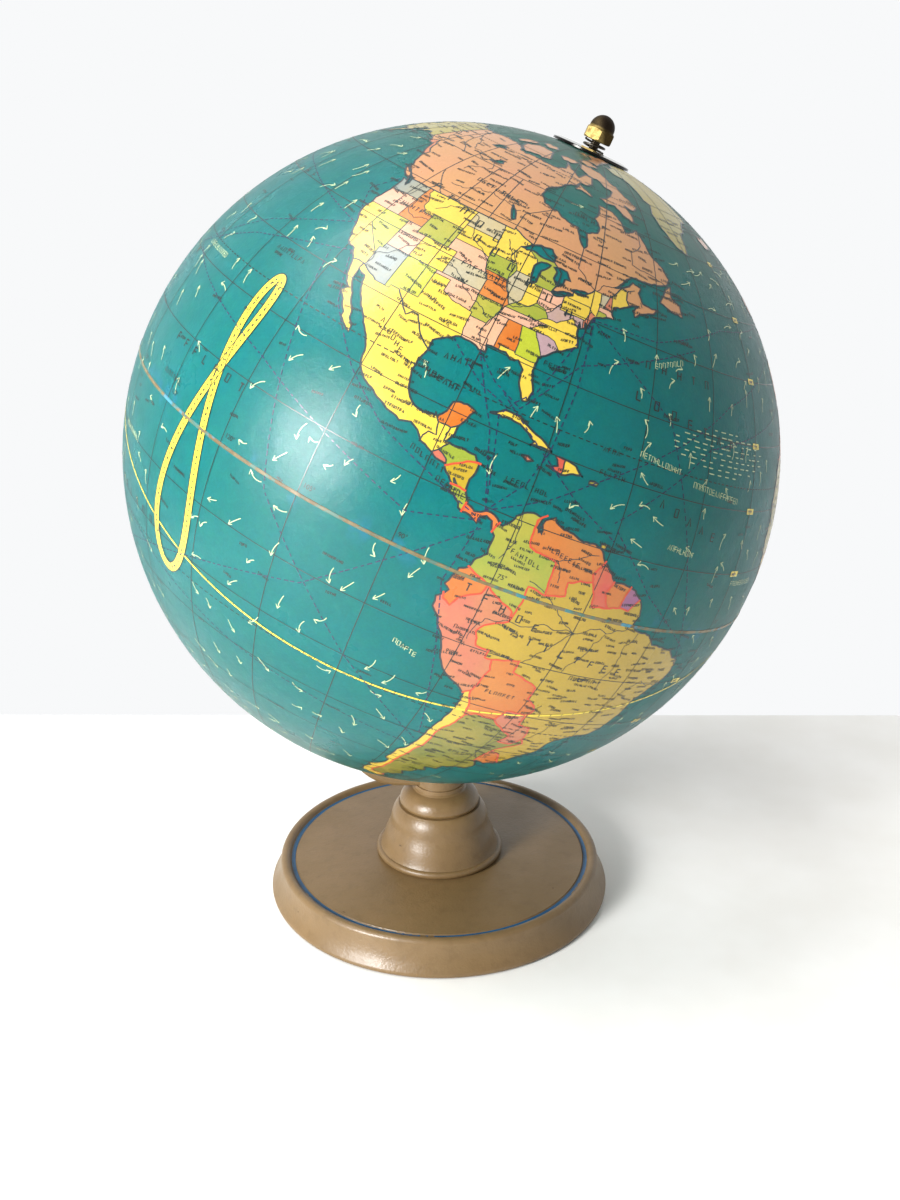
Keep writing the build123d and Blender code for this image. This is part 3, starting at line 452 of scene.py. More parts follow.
    "state_ruled": """
        -124.5 42, -111.05 42; -120 42, -120 39, -114.6 35, -114.5 33, -114.7 32.6; -114.05 42,
        -114.05 36.2, -114.7 36.1, -114.6 35; -117.03 49.1, -117 46.4, -116.9 46, -117 44.3, -117 42;
        -116.05 49.1, -116.05 48; -111.05 45, -104.05 45; -111.05 45, -111.05 41, -102.05 41; -109.05 41,
        -109.05 31.3; -114.05 37, -94.6 37; -104.05 49, -104.05 41; -102.05 41, -102.05 37; -102.05 40,
        -95.3 40; -103.05 37, -103.05 32, -106.6 32; -103.05 36.5, -100 36.5, -100 34.6; -94.04 33.6,
        -94.04 31.9; -104.05 45.94, -96.6 45.94; -104.05 43, -98.5 43; -96.45 43.5, -91.2 43.5;
        -95.8 40.6, -91.4 40.5; -94.6 39.1, -94.6 36.5, -94.4 35.4, -94.5 33.6; -94.04 33, -91.1 33;
        -94.6 36.5, -90.2 36.5, -89.7 36; -90.6 42.5, -87.6 42.5; -87.5 41.8, -87.5 38.5, -88.1 37.8;
        -89.5 36.5, -83.7 36.6, -81.7 36.6, -75.8 36.55; -90.1 35, -84.3 35, -83.1 35, -81 35.1,
        -79.6 34.8, -78.4 33.7; -85.6 35, -85 32.3, -85 30.8; -87.6 31, -84.9 31, -84.9 30.7, -82.2 30.6,
        -81.3 30.7; -87.6 31, -87.5 30.2; -88.1 35, -88.4 32, -88.4 30.2; -91.5 31, -89.7 31, -89.6 30.1;
        -87.2 41.75, -84.8 41.7, -83.2 41.7; -84.8 41.7, -84.8 39.1; -80.5 42.2, -80.5 39.7, -75.7 39.7;
        -79.5 39.7, -79.5 39.2; -79.8 42.4, -79.8 42, -75.3 42; -75.8 39.7, -75.7 38.5, -75 38.5;
        -74.7 41.4, -73.9 41; -73.6 41.1, -73.4 42.1, -73.3 43.6, -73.4 45; -73.4 42.05, -71.8 42,
        -71.4 41.4; -73.3 42.75, -70.7 42.8; -72.5 42.75, -71.5 45; -70.8 43, -71 45.3; -75 45, -71.5 45;
        -120 60, -120 54; -110 60, -110 49; -102 60, -101.4 49; -95.2 49.4, -95.2 52.8, -89 56.8;
        -79.5 51.6, -79.5 47.5; -139 60, -94.5 60; -111 31.3, -108.2 31.3, -108.2 31.8, -106.5 31.8;
        129 -14.8, 129 -31.8; 138 -16.3, 138 -26; 129 -26, 141 -26, 141 -38.2; 141 -29, 148.8 -29,
        153.6 -28.3
    """,
}
seeds = {
    "salmon": """
        -124 55, -115 55, -106 54, -97.5 55.5, -86 50.5, -73 52, -66 46.6, -63.3 45.2, -62.5 54, -110 64,
        -135.5 63.5, -76 70.8, -110 71, -121 73, -80 80.5, -92 79.8, -85 75.3, -96 73, -111 75.7,
        -84 64.5, -56 48.3, -126 50, -92 65, 30 14, 37.8 0.5, 24 -30, 122 -26, 133.5 -20,
        135 -29, 144 -23, 146 -32.5, 144 -37, 146.8 -42, 15.5 62
    """,
    "olive": "-152 65, -40 72, -66.4 18.2, -2 17, 171 -44",
    "green": """
        -107.5 43, -93.5 42, -92.5 34.8, -84.7 43.5, -87 46.2, -85.3 37.5, -72.7 41.6, -86.5 14.9, -84 10,
        -73.5 4.5, 2.5 29, 18 13, 46.5 -19.5, 103 46.5, 54 32.5, 2.3 47
    """,
    "argentine": "-65 -35, -67.3 -54.3",
    "yellow": """
        -120.5 37.5, -109.5 47, -105.5 39, -99.5 31.3, -94.5 46.3, -81.5 28, -79 35.6, -78.3 37.5,
        -75.5 43, -102 24, -90.3 15, -79.5 22.2, -70.2 18.9, -86.2 40, 39.5 8.5, 23 -2, 45 24, -4 40
    """,
    "straw": "-52 -8, 90 60, -85 12.9",
    "gold": "-70.9 -33, -69.5 -23, -72.8 -46, -115.4 31, -112.8 27.5, -100.3 44.4, -77.7 41, -69 45.4",
    "lime": "-117 39.5, -106 34.4, -83.4 32.7, 33 39",
    "orange": """
        -114.5 43.5, -92.5 38.4, -86.8 32.8, -89 20, -66 8, -56 4, -78.3 -1.2, -64.8 -17, -56 -33, 17 27,
        17.5 -12.5, 37 -14, 105 33
    """,
    "vermilion": "-80.8 8.6, -79.2 9.2",
    "blush": """
        -120.5 44, -111.7 39.3, -99.8 41.5, -97.5 35.5, -92.3 30.9, -89.8 44.4, -82.8 40.3, -86.3 35.8,
        -72 42.4, 19.5 52
    """,
    "pink": """
        -75.5 -9, -88.7 17.2, -88.8 13.6, -77.3 18.15, -59 -23, -74.5 40.2, -71.6 43.6, 29 27, 7.5 9.5,
        34.5 -6.5, 27 -14.5, 23.5 -22.5, 79 22, 10.5 51
    """,
    "slate": "-120.5 47.4, -111.7 34.3",
    "grey": "-100.5 47.4, -98.4 38.5, -89.2 40, -89.7 32.8, -72.8 44",
    "lilac": "-80.8 33.9, -80.7 38.6, -76.9 39.4, 17 -23",
    "crimson": "-59.2 5.2, -72.6 19.2",
    "purple": "-53.2 3.9",
    "cream": "30 -80",
}


def pairs(text):
    """Text such as "-75 45, -71 45" as a list of flat vectors."""
    return [Vector([float(number) for number in pair.split()]) for pair in text.split(",")]


def roughen(points, wobble, longest=0.9):
    """The same line in short steps, each new corner pushed sideways by chance."""
    line = [points[0]]
    for end in points[1:]:
        span = end - line[-1]
        if span.length < longest:
            line.append(end)
            continue
        push = Vector((-span.y, span.x)) * chance.uniform(-wobble, wobble)
        middle = (line[-1] + end) / 2 + push
        line += roughen([line[-1], middle, end], wobble, longest)[1:]
    return line


# --- Printed map: inks ----------------------------------------------------------------
# Coasts and borders cut one flat sheet of small triangles. Each seed spreads its ink to the
# nearest lines, and every ink is then wrapped on the ball as one thin printed layer.
spin_axis = frame["record"]["behaviour"]["joints"][0]
ball_centre = Vector(spin_axis["pos_m"])
polar = Vector(spin_axis["axis"])
ball_radius = 152.4
axis_tilt, map_turn = 23.5, -7.5
to_frame = Matrix.Translation(ball_centre) @ Matrix.Rotation(radians(axis_tilt), 4, "Y")
to_frame = to_frame @ Matrix.Rotation(radians(map_turn), 4, "Z")
paper_radius, ink_radius, line_radius, letter_radius = 152.24, 152.31, 152.36, 152.38


def on_ball(longitude, latitude, radius_mm=ink_radius):
    """The place on the ball at this longitude and latitude, in the frame."""
    east, north = radians(longitude), radians(latitude)
    way = Vector((cos(north) * cos(east), cos(north) * sin(east), sin(north)))
    return to_frame @ (way * radius_mm / 1000)


def make_piece(name, mesh, material, body, smooth=True):
    """Turns a bmesh into an object of the frame on this body."""
    data = bpy.data.meshes.new(name)
    mesh.to_mesh(data)
    mesh.free()
    data.shade_smooth() if smooth else data.shade_flat()
    data.materials.append(material)
    piece = bpy.data.objects.new(name, data)
    bpy.context.collection.objects.link(piece)
    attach(piece, body)
    return piece


shore_wobble, border_wobble = 0.09, 0.07
coast_lines, lake_lines = {}, {}
for texts, lines in ((coasts, coast_lines), (lakes, lake_lines)):
    for name, text in texts.items():
        outline = pairs(text)
        lines[name] = roughen(outline + outline[:1], shore_wobble)
border_lines = {"country": [], "state": []}
for name, text in borders.items():
    bend = 0.0 if name.endswith("_ruled") else border_wobble
    rank = name.split("_")[0]
    border_lines[rank] += [roughen(pairs(line), bend) for line in text.split(";")]


def reach_on(line, reach=0.4):
    """The line carried on a little at both ends, so that inks can't creep round them."""
    first, last = line[0] - line[1], line[-1] - line[-2]
    return [line[0] + first.normalized() * reach, *line, line[-1] + last.normalized() * reach]


# The flat sheet: an even grid of points, cut along every coast, lake shore and border.
sheet_points, sheet_edges = [], []
sheet_step, sheet_top, weld = 2, 86, 0.002
for longitude in range(-180, 181, sheet_step):
    for latitude in range(-sheet_top, sheet_top + 1, sheet_step):
        sheet_points.append(Vector((longitude, latitude)))
barriers = list(coast_lines.values()) + list(lake_lines.values())
barriers += [reach_on(line) for line in border_lines["country"] + border_lines["state"]]
for line in barriers:
    first = len(sheet_points)
    sheet_points += line
    sheet_edges += [(i, i + 1) for i in range(first, first + len(line) - 1)]
sheet_spots, cut_edges, sheet_faces, _, edge_origins, _ = delaunay_2d_cdt(
    sheet_points, sheet_edges, [], 0, weld
)
barrier_edges = {tuple(sorted(edge)) for edge, origin in zip(cut_edges, edge_origins) if origin}

# Triangles that meet at an edge without a line on it belong to the same region.
edge_faces = {}
for number, face in enumerate(sheet_faces):
    for start, end in zip(face, face[1:] + face[:1]):
        edge_faces.setdefault(tuple(sorted((start, end))), []).append(number)
region = [None] * len(sheet_faces)
regions = []
for first in range(len(sheet_faces)):
    if region[first] is not None:
        continue
    region[first] = len(regions)
    members, front = [first], [first]
    while front:
        face = sheet_faces[front.pop()]
        for start, end in zip(face, face[1:] + face[:1]):
            edge = tuple(sorted((start, end)))
            if edge in barrier_edges:
                continue
            for other in edge_faces[edge]:
                if region[other] is None:
                    region[other] = len(regions)
                    members.append(other)
                    front.append(other)
    regions.append(members)


def inside(spot, outline):
    """Whether a flat point is inside a closed outline."""
    crossings = 0
    for start, end in zip(outline, outline[1:]):
        if (start.y > spot.y) != (end.y > spot.y):
            crossings += spot.x < start.x + (spot.y - start.y) * (end.x - start.x) / (end.y - start.y)
    return crossings % 2 == 1


shores = []
for line in coast_lines.values():
    across, up = [point.x for point in line], [point.y for point in line]
    shores.append((min(across), max(across), min(up), max(up), line))


def on_land(x, y):
    """Whether this place is inside any coast."""
    for west, east, south, north, line in shores:
        if west <= x <= east and south <= y <= north and inside(Vector((x, y)), line):
            return True
    return False


def middle_of(face):
    """The centre of one flat triangle."""
    return sum((sheet_spots[corner] for corner in sheet_faces[face]), Vector((0, 0))) / 3


def size_of(face):
    """The flat area of one triangle, in square degrees."""
    a, b, c = (sheet_spots[corner] for corner in sheet_faces[face])
    return abs((b - a).cross(c - a)) / 2


sheet_tree = BVHTree.FromPolygons([spot.to_3d() for spot in sheet_spots], sheet_faces)
# A seed may stand on a corner of the grid, so it is looked up a little beside its place.
seed_shift, down = Vector((0.01, 0.013, 1)), Vector((0, 0, -1))
region_ink = {}
for ink, text in seeds.items():
    for seed in pairs(text):
        face = sheet_tree.ray_cast(seed.to_3d() + seed_shift, down)[2]
        if face is not None:
            region_ink.setdefault(region[face], ink)
# Land without a seed gets one of the spare inks, by the number of its region.
spare_inks = ["yellow", "salmon", "pink", "green", "orange", "straw", "blush", "olive"]
land_faces = {}
for number, members in enumerate(regions):
    widest = max(members, key=size_of)
    spot = middle_of(widest)
    if not on_land(spot.x, spot.y) or any(inside(spot, line) for line in lake_lines.values()):
        continue
    ink = region_ink.get(number) or spare_inks[number % len(spare_inks)]
    land_faces.setdefault(ink, []).extend(members)

# The inks as they look now, under old yellowed varnish.
ink_colours = {
    "salmon": "#bd8459", "olive": "#938c2c", "green": "#869630", "argentine": "#5c6a20",
    "yellow": "#dabb40", "straw": "#ab901e", "gold": "#d2b53a", "lime": "#a6b02c",
    "orange": "#c0641e", "vermilion": "#d24e2a", "blush": "#d5a288", "pink": "#b86450",
    "slate": "#7c8886", "grey": "#aba48c", "lilac": "#a98c90", "crimson": "#c23c40",
    "purple": "#8a4a86", "cream": "#efe6c4",
}


def printed_ink(name, shade, worn):
    """Old printing ink on paper under yellowed varnish: mottled, faintly speckled, soft gloss."""
    material, shader = new_material(name, roughness=0.34, coat_weight=0.5, coat_roughness=0.25)
    cloud = vein(material, 26.0, 4.0)
    # Paper grain and specks are a few times coarser than real ones, so that they show.
    grain = vein(material, 1.1, 2.0, low=0.3, high=0.7)
    speck = vein(material, 3.0, 5.0, 0.7, 0.66, 0.74)
    patches = [(worn, 0.35, cloud), ("#6b5a2e", 0.10, grain), ("#4d4424", 0.30, speck)]
    tint(material, shader, shade, patches)
    vary(material, shader, "Roughness", 0.27, 0.46, cloud)
    relief(material, shader, [(0.012, grain), (0.05, vein(material, 9.0))])
    return material


seam_weld = 0.000002
for ink, faces in land_faces.items():
    layer = bmesh.new()
    corners = {}
    for number in faces:
        face = sheet_faces[number]
        for corner in face:
            if corner not in corners:
                spot = sheet_spots[corner]
                corners[corner] = layer.verts.new(on_ball(spot.x, spot.y))
        layer.faces.new([corners[corner] for corner in face])
    bmesh.ops.remove_doubles(layer, verts=layer.verts, dist=seam_weld)
    # Red inks wear to ochre, and the others to straw.
    worn = "#b98f4a" if ink in ("salmon", "blush", "pink", "orange") else "#c2a03c"
    material = printed_ink(f"{ink}_ink", ink_colours[ink], worn)
    make_piece(f"land_{ink}", layer, material, "globe")


# --- Gores ----------------------------------------------------------------------------
# Twenty-four paper gores, thirty degrees wide, printed sea green. Hairline gaps show the
# joints, and the varnish has browned towards the poles.
def from_ball_centre(material):
    """The place on the piece as seen from the middle of the ball, in metres."""
    place = add_node(material, "ShaderNodeTexCoord")
    return add_node(
        material,
        "ShaderNodeVectorMath",
        {"operation": "SUBTRACT", 1: ball_centre},
        {0: place.outputs["Object"]},
    ).outputs["Vector"]


# Sea green under a thick soft varnish: clouded, browner to the poles, smudged at the equator.
sea, sea_shader = new_material(
    "sea_ink", roughness=0.4, specular_ior_level=0.25, coat_weight=0.85, coat_roughness=0.36
)
sea_cloud = vein(sea, 34.0, 4.0)
sea_grain = vein(sea, 1.0, 2.0, low=0.3, high=0.7)
sea_fibre = vein(sea, 5.0, 5.0, 0.65, 0.4, 0.7)
north_share = add_node(
    sea,
    "ShaderNodeVectorMath",
    {"operation": "DOT_PRODUCT", 1: polar * 1000 / ball_radius},
    {0: from_ball_centre(sea)},
).outputs["Value"]
distance_share = add_node(sea, "ShaderNodeMath", {"operation": "ABSOLUTE"}, {0: north_share}).outputs[0]
age_start, smudge_end = 0.72, 0.045
polar_age = add_node(
    sea, "ShaderNodeMapRange", {"From Min": age_start, "From Max": 1.0}, {"Value": distance_share}
).outputs["Result"]
near_equator = add_node(
    sea,
    "ShaderNodeMapRange",
    {"From Min": 0.0, "From Max": smudge_end, "To Min": 1.0, "To Max": 0.0},
    {"Value": distance_share},
).outputs["Result"]
smudge = add_node(
    sea,
    "ShaderNodeMath",
    {"operation": "MULTIPLY"},
    {0: near_equator, 1: vein(sea, 12.0, 3.0, 0.6, 0.56, 0.64)},
).outputs[0]
patches = [
    ("#06807c", 0.5, sea_cloud),
    ("#149a84", 0.35, sea_fibre),
    ("#06605a", 0.18, sea_grain),
    ("#4a7242", 0.5, polar_age),
    ("#2f8fb8", 0.6, smudge),
]
tint(sea, sea_shader, "#008c90", patches)
vary(sea, sea_shader, "Roughness", 0.26, 0.42, sea_cloud)
relief(sea, sea_shader, [(0.015, sea_grain), (0.06, vein(sea, 9.0))])

gore_count, gore_edge, gore_top, gore_step, widest_margin = 12, 0.022, 86.6, 2.5, 0.4
paper_thickness, fold_angle = 0.00012, 0.6
gore_span = 360 // gore_count
columns, rows = int(gore_span / gore_step), int(gore_top / gore_step) + 1
for hemisphere, side in (("north", 1), ("south", -1)):
    for number in range(gore_count):
        west = number * gore_span - 180
        gore = bmesh.new()
        grid = []
        for row in range(rows + 1):
            latitude = gore_edge + (gore_top - gore_edge) * row / rows
            margin = min(gore_edge / cos(radians(latitude)), widest_margin)
            line = []
            for column in range(columns + 1):
                share = column / columns
                longitude = west + margin + (gore_span - 2 * margin) * share
                line.append(gore.verts.new(on_ball(longitude, side * latitude, paper_radius)))
            grid.append(line)
        for low, high in zip(grid, grid[1:]):
            for column in range(columns):
                corners = [low[column], low[column + 1], high[column + 1], high[column]]
                gore.faces.new(corners if side > 0 else corners[::-1])
        # New faces have no normals yet, so both sides of the sheet come out at one radius.
        bmesh.ops.solidify(gore, geom=gore.faces[:], thickness=paper_thickness)
        bmesh.ops.recalc_face_normals(gore, faces=gore.faces)
        for edge in gore.edges:
            edge.smooth = edge.calc_face_angle(0) < fold_angle
        node = f"gore_{hemisphere}_{number + 1:02d}"
        paper = make_piece(f"paper_{hemisphere}_{number + 1:02d}", gore, sea, "globe")
        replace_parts(paper, node)


# --- Line work ------------------------------------------------------------------------
# Coasts, borders, rivers and the grid are fine printed strips. Each ink is one piece, and a
# strip follows the ball just over the colour under it. Widths are in mm.
def ribbon(mesh, line, width_mm, radius_mm=line_radius, shift_mm=0.0):
    """A strip of ink along (longitude, latitude) points, shifted to the right of them."""
    spots = [on_ball(point[0], point[1], radius_mm) for point in line]
    if len(spots) < 2:
        return
    rows = []
    for number, spot in enumerate(spots):
        along = spots[min(number + 1, len(spots) - 1)] - spots[max(number - 1, 0)]
        if along.length < 1e-9:
            continue
        side = along.normalized().cross((spot - ball_centre).normalized()) / 1000
        centre = spot + side * shift_mm
        edge = side * width_mm / 2
        rows.append((mesh.verts.new(centre - edge), mesh.verts.new(centre + edge)))
    for (left, right), (next_left, next_right) in zip(rows, rows[1:]):
        mesh.faces.new((left, right, next_right, next_left))


def even_steps(line, step=1.5):
    """The line with corners no further apart than step degrees."""
    points = [Vector(line[0])]
    for end in line[1:]:
        start, end = points[-1], Vector(end)
        count = max(1, ceil((end - start).length / step))
        points += [start.lerp(end, i / count) for i in range(1, count + 1)]
    return points


def dashes(mesh, line, width_mm, dash, gap, radius_mm=line_radius):
    """A broken strip: dash and gap in degrees."""
    points = even_steps(line, 0.25)
    run, travelled = [points[0]], 0.0
    for start, end in zip(points, points[1:]):
        travelled = (travelled + (end - start).length) % (dash + gap)
        if travelled < dash:
            run.append(end)
        else:
            ribbon(mesh, run, width_mm, radius_mm)
            run = [end]
    ribbon(mesh, run, width_mm, radius_mm)


def line_ink(name, shade):
    """Thin printing ink under the varnish: one dark tone that breaks up a little in the paper."""
    material, shader = new_material(name, roughness=0.36, coat_weight=0.5, coat_roughness=0.28)
    grain = vein(material, 0.8, 3.0)
    tint(material, shader, shade, [("#6a6a4a", 0.15, grain), (shade, 0.5, vein(material, 20.0))])
    vary(material, shader, "Roughness", 0.3, 0.46, grain)
    return material


meridian_step, parallel_step, grid_top = 15, 10, 80
tropic, polar_circle = 23.45, 66.5
grid_ink = bmesh.new()
for longitude in range(-180, 180, meridian_step):
    ribbon(grid_ink, even_steps([(longitude, -grid_top), (longitude, grid_top)]), 0.34)
for latitude in range(-grid_top, grid_top + 1, parallel_step):
    if latitude:
        ribbon(grid_ink, even_steps([(-180, latitude), (180, latitude)]), 0.32)
for latitude in (-polar_circle, -tropic, tropic, polar_circle):
    dashes(grid_ink, [(-180, latitude), (180, latitude)], 0.42, 0.7, 0.5)
black_ink = line_ink("black_line_ink", "#0c1e22")
make_piece("grid_lines", grid_ink, black_ink, "globe")

coast_width, river_width, state_width, northern_width = 0.75, 0.28, 0.32, 0.55
coast_ink = bmesh.new()
for line in list(coast_lines.values()) + list(lake_lines.values()):
    ribbon(coast_ink, line, coast_width)
rivers = """
    -51 -0.5, -54.5 -2, -60 -3.2, -65 -3, -70 -4.2, -73.5 -5, -74.5 -9; -60 -3.2, -62 -6, -65 -10;
    -54.5 -2.2, -56 -6, -58 -10; -48.5 -1, -49.5 -6, -50 -12; -60 -3.2, -64 -0.5, -67 1.5, -70 2.5;
    -61.5 9, -64 8, -67.5 6.5, -66 3.5; -74.8 11, -74.5 8, -75.5 4; -58.4 -34, -60 -32, -59 -27.5,
    -57.5 -22, -57 -17; -54.6 -25.5, -52 -21, -48 -20; -36.5 -10.5, -41 -9.5, -44 -13, -45 -19;
    -89.3 29.2, -91.2 31, -90.6 34, -89.2 37, -90.4 39, -91.3 42, -93 45, -95 47; -90.3 38.8, -95 39.2,
    -96 42, -100.5 44, -103 48, -110 47.8, -112 46; -89.2 37, -86 38, -83 38.5, -80.5 40.5;
    -91.2 33.8, -95 35.2, -99 37.8, -104.5 38.5; -114.8 32, -114.5 35, -112 36.4, -110 38.5, -106 40.2;
    -123.8 46.2, -119.5 46, -119 48.5, -116 50.5; -117 46.3, -116.8 44, -114 42.8, -111 43.5;
    -71 46.9, -75 45; -135 69, -130 65.5, -124 62, -115 61, -111.5 59, -117 56; -164 62.5, -157 63.5,
    -150 65, -141 65, -135.5 61; -96.5 53, -103 53.5, -110 53, -115 52; 31 31, 31 27, 33 22, 31.5 18,
    33 15, 32 10, 31.5 3; 12.5 -6, 16 -3, 20 2, 25 0.5, 26 -6; 6 4.8, 6.5 8, 2 13, -4 16.5, -9 11;
    36 -18.8, 31 -16, 27 -17.8, 23 -15; 89 23, 85 25.5, 79 28.5; 121 31.5, 114 30, 107 29.5, 100 27;
    70 68, 66 62, 75 57, 80 52; 83 71, 90 65, 92 57; 127 72, 125 64, 115 60, 107 55; 29 45, 20 45.5, 12 48.5
"""
for line in rivers.split(";"):
    ribbon(coast_ink, roughen(pairs(line), 0.16, 0.8), river_width)
for line in border_lines["state"]:
    ribbon(coast_ink, line, state_width, letter_radius)
# North America's borders are in the coast's dark ink, all the others in red.
border_ink = bmesh.new()
for line in border_lines["country"]:
    if line[0].x < -60 and line[0].y > 14:
        ribbon(coast_ink, line, northern_width, letter_radius)
    else:
        ribbon(border_ink, line, coast_width, letter_radius)
coast_material = line_ink("coast_line_ink", "#1a2c34")
make_piece("coast_and_river_lines", coast_ink, coast_material, "globe")
make_piece("country_lines", border_ink, line_ink("border_line_ink", "#c93f22"), "globe")


# --- Routes, currents and small print -------------------------------------------------
# Dashed violet shipping routes, cream current arrows, and place names reduced to rows of
# short strokes, with larger spaced strokes for the names of seas and continents.
routes = """
    -80 9.5, -76 15, -74.5 20, -73.5 30, -73.8 40; -80 9.5, -84 20, -88 26, -90 29; -80 9.5, -82 17,
    -83.5 22, -82 24.5, -79.5 27, -74 40; -80 9.5, -72 14, -66 18.5, -40 35, -10 46; -80 8, -86 10, -98 14,
    -106 19, -114 26, -118.5 33.5; -80 8, -90 5, -120 14, -157 21; -80 7, -81.5 -2, -78 -12, -72.5 -30;
    -79.5 7, -100 -12, -150 -30; -118.5 33.5, -140 28, -157 21; -122.5 37.7, -140 31, -157 21;
    -122.5 37.7, -128 44, -124.8 48.5; -157 21, -160 0, -170 -20; -72.5 -32, -90 -20, -110 -2, -122 32;
    -72 -34, -110 -30, -150 -22; -74 40.3, -60 41, -40 47, -10 50; -74 40.3, -55 30, -36 -5, -34 -9;
    -35 -9, -38 -20, -43 -23.5, -50 -31, -56 -35.5; -35 -9, -20 5, -18 20, -10 38; -90 29, -86 26,
    -81 24, -74 33, -50 42; -94.5 29, -88 25, -83 23.5; -60 13, -50 5, -36 -3; -43 -24, 0 -30, 18 -34.5;
    -84 25, -76 20, -68 15, -60 11.5; -61 14, -45 28, -8 37; -122.5 37.5, -150 42, -180 45
"""
route_ink = bmesh.new()
for line in routes.split(";"):
    dashes(route_ink, pairs(line), 0.45, 0.7, 0.45)
make_piece("route_lines", route_ink, line_ink("violet_line_ink", "#1c1c50"), "globe")


def is_sea(longitude, latitude, reach=2.0):
    """Whether this place and its surroundings are clear of land."""
    spots = [(0, 0), (reach, 0), (-reach, 0), (0, reach), (0, -reach)]
    return not any(on_land(longitude + dx, latitude + dy) for dx, dy in spots)


arrow_steps, barb_length = 6, 0.75


def arrow(mesh, longitude, latitude, heading, length, curl):
    """A curved current arrow: heading in degrees north of east, length in degrees."""
    line, angle = [Vector((longitude, latitude))], heading
    shrink = max(cos(radians(latitude)), 0.3)
    for step in range(arrow_steps):
        way = Vector((cos(radians(angle)) / shrink, sin(radians(angle))))
        line.append(line[-1] + way * length / arrow_steps)
        angle += curl / arrow_steps
    ribbon(mesh, line, 0.34)
    for turn in (150, -150):
        barb = Vector((cos(radians(angle + turn)) / shrink, sin(radians(angle + turn))))
        ribbon(mesh, [line[-1], line[-1] + barb * barb_length], 0.32)


def drift(longitude, latitude):
    """Heading of the ocean current here: two great wheels in each ocean."""
    band = sin(radians(latitude * 3.2))
    return 180 + 70 * sin(radians(longitude * 3)) if abs(latitude) < 22 else 20 + 60 * band


# One arrow in most cells of a loose grid, kept clear of land and of the sun's figure.
current_ink = bmesh.new()
arrow_gap, arrow_shift = 6, 2.5
figure_middle, figure_reach_east, figure_reach_north = -126, 6, 27
for longitude in range(-176, 180, arrow_gap):
    for latitude in range(-56, 62, arrow_gap):
        x = longitude + chance.uniform(-arrow_shift, arrow_shift)
        y = latitude + chance.uniform(-arrow_shift, arrow_shift)
        on_figure = abs(x - figure_middle) < figure_reach_east and abs(y) < figure_reach_north
        if not on_figure and chance.random() < 0.8 and is_sea(x, y):
            heading = drift(x, y) + chance.uniform(-25, 25)
            arrow(current_ink, x, y, heading, chance.uniform(1.5, 2.9), chance.uniform(-80, 80))


# Corners of a letter's box in shares of its width and height, and strokes between them.
letter_corners = [(0, 0), (0, 1), (1, 1), (1, 0), (0, 0.5), (1, 0.5), (0.5, 0), (0.5, 1)]
letter_shapes = [
    [(0, 1), (4, 5), (3, 2)],
    [(0, 1), (1, 2), (4, 5)],
    [(6, 7), (1, 2)],
    [(0, 1, 2, 3)],
    [(2, 1, 0, 3), (4, 5)],
    [(0, 7, 3)],
    [(0, 1, 2, 3, 0)],
    [(0, 1), (0, 3)],
]
letter_width = 0.58


def small_print(mesh, longitude, latitude, letters, height_mm, slope=0.0, spacing=1.0, weight=0.3):
    """A row of letter-like marks, each one to three strokes, that look like print from afar."""
    height = degrees(height_mm / ball_radius)
    shrink = max(cos(radians(latitude)), 0.3)
    for letter in range(letters):
        x = longitude + letter * height * spacing / shrink
        y = latitude + letter * height * spacing * slope
        wide = height * letter_width / shrink
        for stroke in chance.choice(letter_shapes):
            corners = [letter_corners[i] for i in stroke]
            line = [Vector((x + across * wide, y + up * height)) for across, up in corners]
            ribbon(mesh, line, height_mm * weight, letter_radius)


def print_names(mesh, text, spacing, weight):
    """Names given as: degrees east and north, number of letters, height in mm and slope."""
    for entry in text.split(","):
        x, y, letters, height, slope = [float(number) for number in entry.split()]
        small_print(mesh, x, y, int(letters), height, slope, spacing, weight)


cream_names = """
    -48 22 16 2.2 -0.1, -60 24 12 2 -0.1, -50 12.5 9 2 -0.1, -84 -14 6 2 -0.3, -30 8 14 2 0,
    -152 22 14 2 0, -150 -10 12 2 0, -60 37 8 2 0.4
"""
print_names(current_ink, cream_names, 0.9, 0.14)
# The weedy sea in mid Atlantic, a lens-shaped field of short cream dashes.
weed_west, weed_south, weed_column, weed_row = -54, 24.6, 2.3, 0.8
for row in range(9):
    for column in range(12):
        x = weed_west + column * weed_column + chance.uniform(-0.6, 0.6)
        y = weed_south + row * weed_row
        if abs(column - 5.5) / 6.5 + abs(row - 4) / 5.5 < 1.1:
            ribbon(current_ink, [Vector((x, y)), Vector((x + chance.uniform(0.7, 1.4), y))], 0.4)
make_piece("current_arrows", current_ink, line_ink("cream_line_ink", "#b9cf9e"), "globe")

